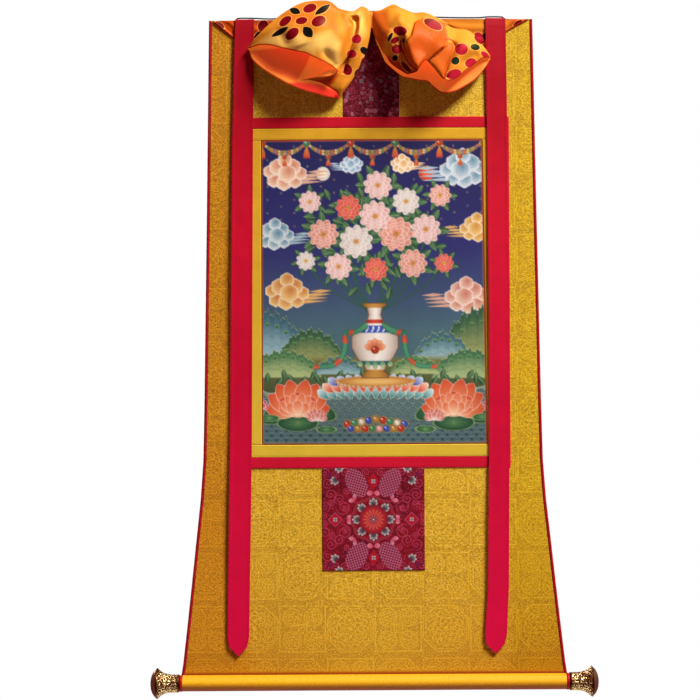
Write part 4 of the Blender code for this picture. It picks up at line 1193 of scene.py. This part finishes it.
RIGHT_POUCH = (
    (15, -46, 9, 11, 17, -48, 13, 16, -51, 8),
    (10, -35, 10, 14, 20, -53, 16, 18, -56, 10),
    (4, -22, 10, 17, 25, -62, 21, 20, -61, 12),
    (2, -8, 10, 21, 32, -69, 25, 26, -68, 15),
    (3, 7, 11, 28, 47, -79, 30, 41, -81, 19),
    (14, 10, 12, 31, 52, -79, 34, 49, -84, 21),
    (24, 15, 13, 34, 57, -78, 37, 58, -86, 22),
    (32, 17, 13, 38, 61, -77, 40, 68, -88, 23),
    (42, 12, 13, 38, 65, -72, 40, 76, -89, 23),
    (58, 6, 13, 36, 73, -63, 37, 86, -98, 23),
    (73, 6, 13, 35, 83, -72, 37, 96, -104, 22),
    (92, -2, 13, 36, 96, -87, 38, 111, -102, 21),
    (112, -12, 13, 34, 110, -88, 34, 125, -95, 18),
    (135, -20, 12, 28, 129, -73, 27, 141, -84, 13),
    (152, -39, 10.5, 18, 150, -57, 18, 154, -69, 9.5),
    (162, -53, 9.5, 11, 161, -55, 11.5, 161, -57, 7.5),
)
# Folds in the front layers. Columns: the line (x, z), how far the cloth stands
# forward on it, its reach to the left and right of the way the line runs, and
# the shares of the line over which the fold begins and ends.
LEFT_FOLDS = (
    (((-20, 4), (-21, -16), (-25, -32), (-32, -52), (-38, -67), (-41, -76)), -9.0, 4.0, 9.0, 0.10, 0.05),
    (((-39, 7), (-30, -5), (-22, -19)), 3.0, 3.0, 5.0, 0.3, 0.3),
    (((-52, 14), (-45, -18), (-47, -60)), 3.0, 9.0, 12.0, 0.3, 0.2),
    (((-66, -46), (-54, -60), (-47, -70)), -3.0, 5.0, 6.0, 0.3, 0.1),
    (((-14, 2), (-13, -30), (-27, -70)), 3.0, 5.0, 5.0, 0.3, 0.3),
    (((-118, -2), (-104, -24), (-96, -46)), 2.2, 12.0, 12.0, 0.3, 0.1),
    (((-128, -12), (-118, -30), (-112, -42)), -1.4, 6.0, 6.0, 0.3, 0.1),
)
RIGHT_FOLDS = (
    (((45, 8), (36, -8), (26, -23), (18, -39)), 4.0, 9.0, 5.0, 0.15, 0.2),
    (((29, -18), (24, -29), (18, -42)), 2.5, 1.0, 6.0, 0.2, 0.2),
    (((45, -22), (41, -37), (46, -54), (53, -67), (62, -76)), -6.0, 1.4, 8.0, 0.2, 0.05),
    (((69, -3), (60, -11), (55, -30), (45, -43), (45, -55), (52, -69), (63, -76)), 5.0, 18.0, 1.3, 0.1, 0.05),
    (((52, 8), (50, -8), (49, -24)), 2.5, 4.0, 7.0, 0.3, 0.3),
    (((63, -76), (74, -64), (92, -48), (104, -38)), 5.5, 16.0, 0.9, 0.02, 0.2),
    (((78, -62), (86, -72), (98, -87)), 3.0, 9.0, 0.9, 0.02, 0.05),
    (((104, -38), (110, -38), (113, -43), (109, -57), (102, -70), (98, -87)), -4.5, 4.0, 2.2, 0.15, 0.05),
    (((78, -31), (88, -28), (93, -21)), -2.0, 3.0, 5.0, 0.3, 0.3),
    (((98, -10), (115, -13), (134, -14), (153, -18)), -4.0, 3.0, 5.0, 0.2, 0.2),
    (((112, -26), (130, -38), (148, -50)), 2.4, 12.0, 12.0, 0.3, 0.3),
    (((118, -70), (134, -56), (146, -50)), -2.0, 6.0, 6.0, 0.3, 0.2),
)
# Hems that turn out over the front layer, on the right pouch alone.
RIGHT_HEMS = (
    ((98, -33), (104, -32), (110, -34), (113.5, -42), (110, -56), (103, -70), (98, -86)),
    ((40, -34), (40, -44), (44, -54), (51, -67), (60, -75)),
)
# Where the silk is deeper orange: turned out, and painted shade in the folds, crimson painted shade above 1,
# and below 0 a painted cream highlight. Columns: the outline (x, z), side (0 printed face, 1
# reverse), how deep, blur.
LEFT_DEEP_AND_PAINTED_LIGHT = (
    (((-41, -73), (-53, -80), (-66, -83), (-92, -84), (-100, -88), (-85, -90), (-70, -91), (-58, -95),
      (-50, -88)), 0, 1.0, 3.0),
    (((-46, 9), (-33, 9), (-27, -16), (-29, -34), (-38, -12)), 0, 0.4, 5.0),
    (((-119, 4), (-93, 19), (-54, 24), (-42, 8), (-44, -22), (-80, -12), (-112, -12)), 0, 0.5, 9.0),
    (((-102, -88), (-66, -85), (-57, -91), (-45, -99), (-42, -106), (-62, -104), (-86, -96)), 0, 1.7, 1.5),
    (((-100, -88), (-70, -91), (-47, -99), (-39, -108), (-55, -110), (-92, -99), (-110, -91)), 1, 1.8, 3.0),
    (((-165, -44), (-120, -40), (-81, -48), (-87, -64), (-100, -88), (-140, -70)), 1, 0.95, 2.0),
    (((-74, -28), (-54, -23), (-42, -39), (-42, -64), (-48, -69), (-60, -56), (-74, -44)), 0, -1.0, 7.0),
    (((-148, -33), (-112, -44), (-76, -52), (-74, -34), (-100, -24), (-130, -22)), 0, -0.9, 7.0),
    (((-28, 8), (-14, 10), (-6, -20), (-16, -40), (-22, -20)), 0, -0.6, 6.0),
)
RIGHT_DEEP_AND_PAINTED_SHADE = (
    (((-3, 10), (22, 8), (26, -16), (17, -40), (16, -46), (4, -36)), 0, 0.75, 5.0),
    (((60, -10), (69, -2), (100, -8), (104, -38), (92, -48), (63, -76), (50, -66), (45, -50), (55, -30)),
     0, 0.85, 2.5),
    (((78, -62), (92, -48), (104, -37), (112, -38), (109, -57), (98, -88)), 0, 0.75, 1.5),
    (((14, -50), (34, -58), (56, -80), (72, -90), (45, -84), (20, -68)), 0, 1.0, 4.0),
    (((40, -76), (64, -74), (74, -62), (99, -88), (90, -101), (60, -88)), 1, 0.25, 2.0),
    (((99, -88), (128, -72), (152, -56), (150, -72), (120, -98), (96, -104)), 1, 0.45, 4.0),
)
# The printed flowers. Columns: kind, x, z, half length, half width, turn.
PETAL, PINK, LEAF, BUD = range(4)
LEFT_PRINT = (
    (PETAL, -93, -7.5, 8.0, 5.4, 10), (PETAL, -82, 11.5, 9.4, 6.7, 25), (PETAL, -115, -6.5, 9.4, 6.0, 40),
    (PETAL, -70, -9, 10.1, 7.4, 30), (PETAL, -105.5, -25.5, 10.1, 6.7, 38), (LEAF, -102, 8, 8.6, 5.0, -28),
    (LEAF, -65, 9, 13.4, 4.6, 40), (LEAF, -122, -21.5, 13.4, 4.0, 25), (LEAF, -84.5, -24, 9.6, 6.4, -52),
    (PINK, -19.5, -31, 6.7, 6.2, 0), (BUD, -9, -45, 4.8, 5.9, 60), (PINK, -26, -50.5, 6.7, 5.4, 0),
    (PETAL, -12.5, -63, 8.7, 2.1, 80), (PINK, -32.5, -70.5, 8.0, 6.7, -60), (LEAF, -19.7, -75, 6.7, 2.6, 70),
)
RIGHT_PRINT = (
    (PINK, 39, -22, 9.4, 5.9, -15), (LEAF, 25.5, -30, 7.4, 2.4, 60), (PETAL, 32, -34, 6.0, 4.0, 30),
    (LEAF, 43.5, -35.5, 4.3, 1.9, 90), (PETAL, 35, -46, 7.4, 6.2, 0), (BUD, 32, -57.5, 3.8, 4.0, 0),
    (PETAL, 46.5, -70, 9.4, 3.0, -50), (PETAL, 83.5, -11, 13.0, 7.4, -27), (PINK, 121, -46.5, 8.8, 8.0, 15),
    (BUD, 140, -42.5, 6.7, 4.4, 5), (PINK, 134, -64, 8.3, 6.2, 20), (BUD, 112.5, -62.5, 5.6, 5.4, 30),
    (PINK, 110.5, -80.5, 10.5, 6.2, 20), (PINK, 154, -52, 6.7, 3.8, -35), (PETAL, 146, -30.5, 8.0, 5.1, -45),
)
FLAT_PRINT = (
    (PETAL, -146, -8, 8.0, 7.0, 60), (LEAF, -153, -20, 8.0, 3.0, 40), (PETAL, 148, -26, 9.0, 6.0, -45),
    (BUD, 155, -24, 3.0, 5.0, 0), (PETAL, -24, -12, 8.0, 5.0, 20), (PETAL, 60, -20, 8.0, 5.0, 30),
    (PETAL, -205, -6, 7.0, 3.0, -35), (PETAL, 200, -6, 7.0, 3.0, 35),
)
NO_PRINT = 50.0                 # distance where there is no print
# The flat width behind: its lower edge.
VEIL_EDGE = (
    # x, height
    (-214.8, -1.5), (-182, -28), (-158, -45), (-132, -48), (-60, -46), (-32, -36), (-16, -18),
    (0, -10), (15, -20), (32, -38), (100, -42), (156, -40), (184, -18), (214, -1.5),
)


def nearest_on(x, z, line):
    """Distance to a line of straight runs, above 0 on its left, and the share of the line
    gone by at its nearest place."""
    best, found = np.full(x.shape, np.inf), np.zeros(x.shape)
    lengths = [math.dist(a, b) for a, b in zip(line, line[1:])]
    gone = 0.0
    for (x0, z0), (x1, z1), length in zip(line, line[1:], lengths):
        along = np.clip(((x - x0) * (x1 - x0) + (z - z0) * (z1 - z0)) / length ** 2, 0, 1)
        dx, dz = x - x0 - along * (x1 - x0), z - z0 - along * (z1 - z0)
        away = np.copysign(np.hypot(dx, dz), (x1 - x0) * dz - (z1 - z0) * dx)
        nearer = np.abs(away) < np.abs(best)
        found = np.where(nearer, (gone + along * length) / sum(lengths), found)
        best = np.where(nearer, away, best)
        gone += length
    return best, found


def fold_move(x, z, line, forward, left_reach, right_reach, begins, ends):
    """Forward move round a fold: full on its line, a bell of its own reach on each side,
    and eased in and out along the line."""
    away, share = nearest_on(x, z, line)
    bell = np.exp(-(away / np.where(away > 0, left_reach, right_reach)) ** 2)
    return forward * bell * smooth(0, begins, share) * smooth(1, 1 - ends, share)


def inside_outline(x, z, outline, blur):
    """1 inside a closed outline and 0 outside, over a blur: the distance to its nearest
    side, whose sign flips with each side that a ray to the right crosses."""
    best, inner = np.full(x.shape, np.inf), np.zeros(x.shape, bool)
    for (x0, z0), (x1, z1) in zip(outline, outline[1:] + outline[:1]):
        length = math.hypot(x1 - x0, z1 - z0)
        along = np.clip(((x - x0) * (x1 - x0) + (z - z0) * (z1 - z0)) / length ** 2, 0, 1)
        best = np.minimum(best, np.hypot(x - x0 - along * (x1 - x0), z - z0 - along * (z1 - z0)))
        crossed = (z0 > z) != (z1 > z)
        with np.errstate(divide="ignore", invalid="ignore"):
            inner ^= crossed & (x < (x1 - x0) * (z - z0) / (z1 - z0) + x0)
    return smooth(-blur, blur, np.where(inner, best, -best))


def printed(x, z, flowers):
    """Distances in mm to the nearest red and dark shapes of the print, and how light each is.

    A petal or bud is an ellipse; a leaf is the space between two parabolas.
    """
    red, dark, light = 0 * x + NO_PRINT, 0 * x + NO_PRINT, 0 * x
    for kind, cx, cz, long, wide, tilt in flowers:
        c, s = math.cos(math.radians(tilt)), math.sin(math.radians(tilt))
        u, v = (x - cx) * c + (z - cz) * s, -(x - cx) * s + (z - cz) * c
        oval = (np.hypot(u / long, v / wide) - 1) * min(long, wide)
        if kind == LEAF:
            oval = (np.abs(v) - wide * (1 - (u / long) ** 2)) * 0.8
        if kind in (PETAL, PINK):
            light = np.where(oval < red, float(kind == PINK), light)
            red = np.minimum(red, oval)
        else:
            light = np.where(oval < dark, float(kind == BUD), light)
            dark = np.minimum(dark, oval)
    return red, dark, light


def pouch_mesh(name, rows, folds, hems, deep, flowers):
    """A pouch's two layers. Across each station a smooth curve rises from the back hem,
    turns over the fold and falls to the front hem; the folds then move the front layer."""
    row = smooth_run(rows, POUCH_STATIONS)
    fold, front, back = row[:, 0:3], row[:, 4:7], row[:, 7:10]
    turn = np.minimum(3.5, 0.8 + 0.15 * np.linalg.norm(fold - back, axis=1))
    behind, ahead = (fold + back) / 2, (fold + front) / 2
    behind[:, 2] = np.minimum(back[:, 2], fold[:, 2]) - 0.4
    ahead[:, 2] = row[:, 3]
    under, over = fold + 0.12 * (back - fold), fold + 0.12 * (front - fold)
    under[:, 2] = fold[:, 2] - turn
    over[:, 2] = fold[:, 2] + 1.3 * turn
    x, z, depth = np.moveaxis(smooth_run([back, behind, under, fold, over, ahead, front], POUCH_LAYERS), 2, 0)
    share = np.linspace(0, 1, POUCH_LAYERS + 1)[:, None]
    in_front = smooth(0.50, 0.66, share) * smooth(0, 40, np.linalg.norm(fold - front, axis=1))[None]
    moved = sum(fold_move(x, z, *one) for one in folds) * in_front
    steep = np.hypot(*(np.gradient(moved, axis=way) / np.maximum(np.hypot(
        np.gradient(x, axis=way), np.gradient(z, axis=way)), 0.2) for way in (0, 1)))
    ease = 0.35 * np.sin(x / 9 + z / 15) * np.sin(x / 21 - z / 11 + 1)
    depth = np.maximum(depth + moved + ease * (in_front + 0.4), LEAST_DEPTH)
    face = np.stack([x, hang(x, z) - depth, z], 2)
    steps = np.linalg.norm(np.diff(face, axis=0), axis=2)
    run = np.concatenate([0 * steps[:1], np.cumsum(steps, axis=0)])
    hem = np.minimum(run, run[-1:] - run)
    for line in hems:
        hem = np.where(in_front > 0.5, np.minimum(hem, np.abs(nearest_on(x, z, line)[0]) + 0.9), hem)
    red, dark, light = printed(x, z, flowers)
    red, dark = (np.where(share > 0.48, value, NO_PRINT) for value in (red, dark))
    sides = []
    for side in (0, 1):
        # Painted shade on the printed face where the folds are steep.
        value = smooth(0.7, 1.8, steep) * (side == 0)
        for outline, where, amount, blur in deep:
            if where == side:
                lobe = amount * inside_outline(x, z, outline, blur)
                value = value + lobe if amount < 0 else np.maximum(value, lobe)
        sides.append(value)
    along = np.concatenate([[0], np.cumsum(np.linalg.norm(np.diff(fold, axis=0), axis=1))])[None] + 0 * run
    return cover_mesh(name, face, np.stack([along, run], 2), red, dark, light, hem, np.stack(sides))


def cover_mesh(name, face, cloth, red, dark, light, hem, deep):
    """A piece of the cover, with the marks that its silk reads."""
    return grid_mesh(name, face, cloth, COVER_THICKNESS, [
        ("red", red, False), ("dark", dark, False), ("light", light, False), ("hem", hem, True),
        ("deep", deep, True)])


def gathered_sheet(name, mesh):
    """Place a piece of the cover."""
    piece = place_piece(name, mesh, cover_silk, "cover_silk", "silk_cover")


def printed_silk(name):
    """Thin satin: yellow-orange face printed with flowers, deeper orange reverse that glows a little as
    painted light for light through the silk, rolled hems, and painted shade and a painted cream highlight by
    the deep mark."""
    silk = Finish(name, Specular_IOR_Level=0.13, Specular_Tint=(1.0, 0.55, 0.25, 1.0),
                  Emission_Strength=PAINTED_THROUGH_GLOW)
    across, down = silk.flat()
    reverse, deep, hem = silk.mark("reverse"), silk.mark("deep"), silk.mark("hem")
    weave, cloud = silk.noise(0.8, detail=1.0), silk.noise(30)
    # Deep above 0 is deeper orange: turned-out silk, and painted shade in folds; above 1 crimson painted
    # shade under the folds; below 0 a painted cream highlight.
    ground = silk.mix(deep, dye(216, 134, 36), dye(186, 60, 10))
    ground = silk.mix(reverse, ground, silk.mix(deep, dye(240, 134, 52), dye(218, 84, 40)))
    ground = silk.mix(deep - 1.0, ground, dye(206, 32, 30))
    ground = silk.mix(deep * -0.9, ground, dye(255, 208, 104))
    ground = silk.shade(ground, 0.84 + cloud * 0.18 + weave * 0.12)
    light, red, dark = silk.mark("light"), silk.mark("red"), silk.mark("dark")
    petals = silk.mix(light, dye(124, 4, 20), dye(176, 22, 44))
    # The print is darker where deep: painted shade.
    petals = silk.shade(petals, 1.0 - deep.math("MAXIMUM", 0.0) * 0.45)
    tone = silk.mix(red.math("MINIMUM", dark).band(0.5, 0.7) * 0.45, ground, dye(250, 196, 100))
    tone = silk.mix(red.below(0.0, 0.5), tone, petals)
    tone = silk.mix(dark.below(0.0, 0.5), tone, silk.mix(light, dye(14, 16, 14), dye(12, 38, 20)))
    tone = silk.mix(hem.below(1.9, 0.8) * 0.9, tone, dye(146, 18, 8))
    # Painted light: the reverse glows in its own colour, standing in for light through the thin silk.
    silk.tree.links.new(silk.shade(tone, reverse).socket, silk.shader.inputs["Emission Color"])
    thread = (across * 7.0).math("SINE") * 0.5 + (down * 9.0).math("SINE") * 0.5
    relief = thread * 0.02 + weave * 0.05 + hem.band(2.4, 0.7) * -0.12
    return silk.surface(tone, 0.40 + weave * 0.1 + reverse * 0.06, relief)


cover_silk = printed_silk("cover_printed_silk")
for name, *shape in (("cover_left_pouch", LEFT_POUCH, LEFT_FOLDS, (), LEFT_DEEP_AND_PAINTED_LIGHT, LEFT_PRINT),
                     ("cover_right_pouch", RIGHT_POUCH, RIGHT_FOLDS, RIGHT_HEMS, RIGHT_DEEP_AND_PAINTED_SHADE, RIGHT_PRINT)):
    gathered_sheet(name, pouch_mesh(name, *shape))

# The short gather between the pouches turns back over itself: its run from the
# front hem over both folds to the hem behind, as depth and height.
GATHER = ((9.5, -14), (10.5, -3), (10.5, 3), (8.5, 5.5), (6.5, 3), (5.6, 0), (4.6, 4), (3.6, 8.5), (2.6, 6),
          (2.4, -10))
GATHER_SIDES, GATHER_LENGTH, GATHER_ROWS, GATHER_COLUMNS = (-12.0, 27.0), 55, 72, 79
turned = smooth_run(GATHER, GATHER_ROWS)
x = np.linspace(*GATHER_SIDES, GATHER_COLUMNS)[None] + 0 * turned[:, :1]
share = np.linspace(0, 1, GATHER_ROWS + 1)[:, None] + 0 * x
pleats = 0.7 * np.sin(x / 1.9 + 0.8 * np.sin(x / 5.3)) * smooth(0, 0.2, share) * smooth(0.6, 0.45, share)
y = hang(x, 0 * x) - turned[:, :1] - pleats
z = turned[:, 1:] + pleats * 0.5 - 0.06 * (x - 4)
hem = np.minimum(share, 1 - share) * GATHER_LENGTH
# Its hem shows on the face in front and on the reverse behind, so one run of it is spread over both.
# From its front fold back into the hollow and down behind it carries the dark print colour all over: painted
# shade in the hollow.
mesh = cover_mesh("cover_gather", np.stack([x, y, z], 2), np.stack([x, hem], 2), 0 * x + NO_PRINT,
                  12 - 60 * smooth(0.35, 0.5, share), 0 * x, np.repeat(hem, 2, axis=0), 0 * x + 0.2)
gathered_sheet("cover_gather", mesh)

# The flat width hangs against the panel, over the upper brocade, and is
# pleated towards its corners.
VEIL_ROWS, VEIL_COLUMNS, VEIL_TOP = 25, 321, -0.4
edge = smooth_run(VEIL_EDGE, VEIL_COLUMNS - 1)
low = np.minimum(edge[:, 1], -1.4)[None]
share = np.linspace(0, 1, VEIL_ROWS)[:, None]
x, z = edge[:, 0][None] + 0 * share, VEIL_TOP + (low - VEIL_TOP) * share
from_hem = (z - low) * 0.75
over_patch = (SEWN_HEIGHT + CLEARANCE) * (1 - smooth(44, 64, np.abs(x)))
roll = 0.9 * np.exp(-(from_hem - 1.2) ** 2)
pleats = 0.8 * np.sin(from_hem / 2.1 + x / 40) * smooth(100, 120, np.abs(x)) * smooth(0, 2, from_hem)
y = hang(x, z) - 0.9 - over_patch - np.maximum(roll + pleats * smooth(0, -3, z), -0.3)
deep = 0.15 + 0.75 * smooth(112, 84, x) + 0.75 * smooth(182, 196, x)
mesh = cover_mesh("cover_flat", np.stack([x, y, z], 2), np.stack([x, -z], 2),
                  *printed(x, z, FLAT_PRINT), from_hem, deep)
gathered_sheet("cover_flat", mesh)

# ---- Hanging cord ---------------------------------------------------------
# A thin black twisted cord, knotted behind the top edge by each ribbon, that
# the scroll hangs from.
CORD_RADIUS, CORD_TWIST, CORD_RINGS, CORD_AROUND = 1.0, 1.1, 900, 14
CORD_ROUTE = (
    # x, y, height
    (-183, 4.9, -10), (-183, 4.9, -2), (-182, 3.8, 2.6), (-176, 1.6, 3.2), (-169, 0.8, 3.0),
    (-158, 0.6, 2.6), (-132, 0.4, 1.5), (-105, 0, 4), (-78, -0.4, 7.5), (-50, -0.6, 9),
    (-27, -0.8, 9.5), (-13, -1, 9.8), (0, -1, 10), (15, -1, 9.8), (28, -0.8, 9.2),
    (40, -0.6, 8), (54, -0.4, 6), (72, 0, 4), (92, 0.4, 2.2), (125, 0.6, 1.6),
    (148, 0.6, 1.8), (157, 0.8, 2.8), (167, 1.2, 3.1), (175, 2.2, 3.2), (180, 4.0, 2.6),
    (181, 4.9, -2), (181, 4.9, -10),
)
route = smooth_run(CORD_ROUTE, CORD_RINGS)
route[:, 1] += hang(route[:, 0], np.minimum(route[:, 2], 0))
gone = np.concatenate([[0], np.cumsum(np.linalg.norm(np.diff(route, axis=0), axis=1))])
turn = np.linspace(0, math.tau, CORD_AROUND, endpoint=False)[None]
strand = CORD_RADIUS * (0.80 + 0.20 * np.abs(np.cos(1.5 * turn + gone[:, None] * CORD_TWIST)))
black = Finish("cord_black", Specular_IOR_Level=0.3)
fibre = black.noise(0.5)
black.surface(black.mix(fibre, dye(16, 12, 14), dye(52, 40, 40)), 0.6 + fibre * 0.2, fibre, 0.15)
place_piece("twisted_cord", tube_mesh("twisted_cord", route, strand, strand, CORD_AROUND), black,
            "black_cord", "hanging_cord")

# ---- Rod ------------------------------------------------------------------
# A round stick of plain softwood, pushed into the sleeve before its ends are
# sewn up. Its own ends sit in the knobs.
timber = Finish("rod_timber")
ring = timber.noise(2.2, (14.0, 1.0, 1.0), 4.0)
timber.surface(timber.mix(ring, dye(116, 74, 40), dye(168, 118, 70)), 0.55 + ring * 0.15, ring, 0.2)
rod = bpy.data.objects["rod"]
rod.data.materials.clear()
rod.data.materials.append(timber.made)

# ---- Knobs ----------------------------------------------------------------
# Cast brass ends, flared like a trumpet, with embossed leaf scrolls between
# a rim and a collar. The brass is bright on the high spots and brown between.
KNOB_PROFILE = (
    # out from the sleeve, radius
    (0, 11.2), (1.5, 11.8), (12, 12.1), (18, 13.1), (23, 15.0), (27, 17.9), (29.6, 20.4),
    (30.6, 20.6), (31.4, 19.4), (34.5, 16.4), (37.4, 11.0), (38.8, 5.0), (39.2, 0.0),
)
KNOB_RINGS, KNOB_AROUND, BORE = 120, 220, 8.2
RELIEF, SCROLLS = 0.9, 9                # height of the scrolls, and how many go round
CELL_WIDE, CELL_LONG = 8.6, 5.6         # one scroll, round the knob and along it


def scroll_relief(out, turn):
    """Leaf scrolls: spirals in staggered cells round the knob, 1 on their ridges.

    In each cell the height is a cosine of the distance from the cell's eye
    plus the turn round it, which winds one arm out of the eye.
    """
    row = out / CELL_LONG
    across = turn / math.tau * SCROLLS + 0.5 * (np.floor(row) % 2)
    u, v = (across - np.floor(across) - 0.5) * CELL_WIDE, (row - np.floor(row) - 0.5) * CELL_LONG
    hand = np.where(np.floor(across) % 2, 1.0, -1.0)
    away = np.hypot(u, v)
    arm = np.cos(away * 2.0 - hand * np.arctan2(v, u))
    leaf = np.cos(turn * SCROLLS * 2 + out * 1.1) * np.cos(turn * 7 - out * 0.8)
    return np.clip(0.5 + 0.55 * arm * smooth(4.6, 2.6, away) + 0.5 * leaf * smooth(2.2, 4.4, away), 0, 1)


brass = Finish("knob_brass", Metallic=1.0)
high, pit, patina = brass.mark("relief"), brass.noise(1.2, detail=4.0), brass.noise(7.0, detail=3.0)
tone = brass.mix((high * 2.2 - 0.75 + pit * 0.3 - 0.15).clamped(), dye(58, 24, 8), dye(244, 214, 146))
tone = brass.mix(patina * 0.4, tone, dye(140, 82, 36))
brass.surface(tone, 0.46 - high * 0.22 + pit * 0.1, pit, 0.12)
profile = smooth_run(KNOB_PROFILE, KNOB_RINGS)
out, plain = profile[:, :1], np.maximum(profile[:, 1:], 0.0)
turn = np.linspace(0, math.tau, KNOB_AROUND, endpoint=False)[None]
carved = smooth(2.0, 3.5, out) * smooth(29.5, 28.0, out)
relief = scroll_relief(out, turn)
# The bore comes first, so that the knob is open where the rod goes in.
radius = plain + RELIEF * (relief - 0.6) * carved + 0.25 * (smooth(0, 1, out) - smooth(2, 3, out))
radius = np.concatenate([0 * turn + BORE, radius])
high = relief * carved + (0.3 + 0.5 * smooth(30.8, 32.0, out)) * (1 - carved)
high = np.concatenate([0 * turn + 0.2, high])
out = np.concatenate([out[:1], out]) + 0 * turn
cloth = np.stack(np.broadcast_arrays(turn * 12, np.arange(len(radius))[:, None] * 0.4), 2)
for name, side in (("knob_left", -1), ("knob_right", 1)):
    face = np.stack([side * (FOOT_HALF + CLEARANCE + out), rod_depth - radius * np.sin(side * turn) * side,
                     ROD_HEIGHT - radius * np.cos(side * turn)], 2)
    shell = grid_mesh(name, face, cloth, marks=[("relief", high, False)], tube=True)
    place_piece(name + "_cast", close_poles(shell), brass, "knob_brass", name)
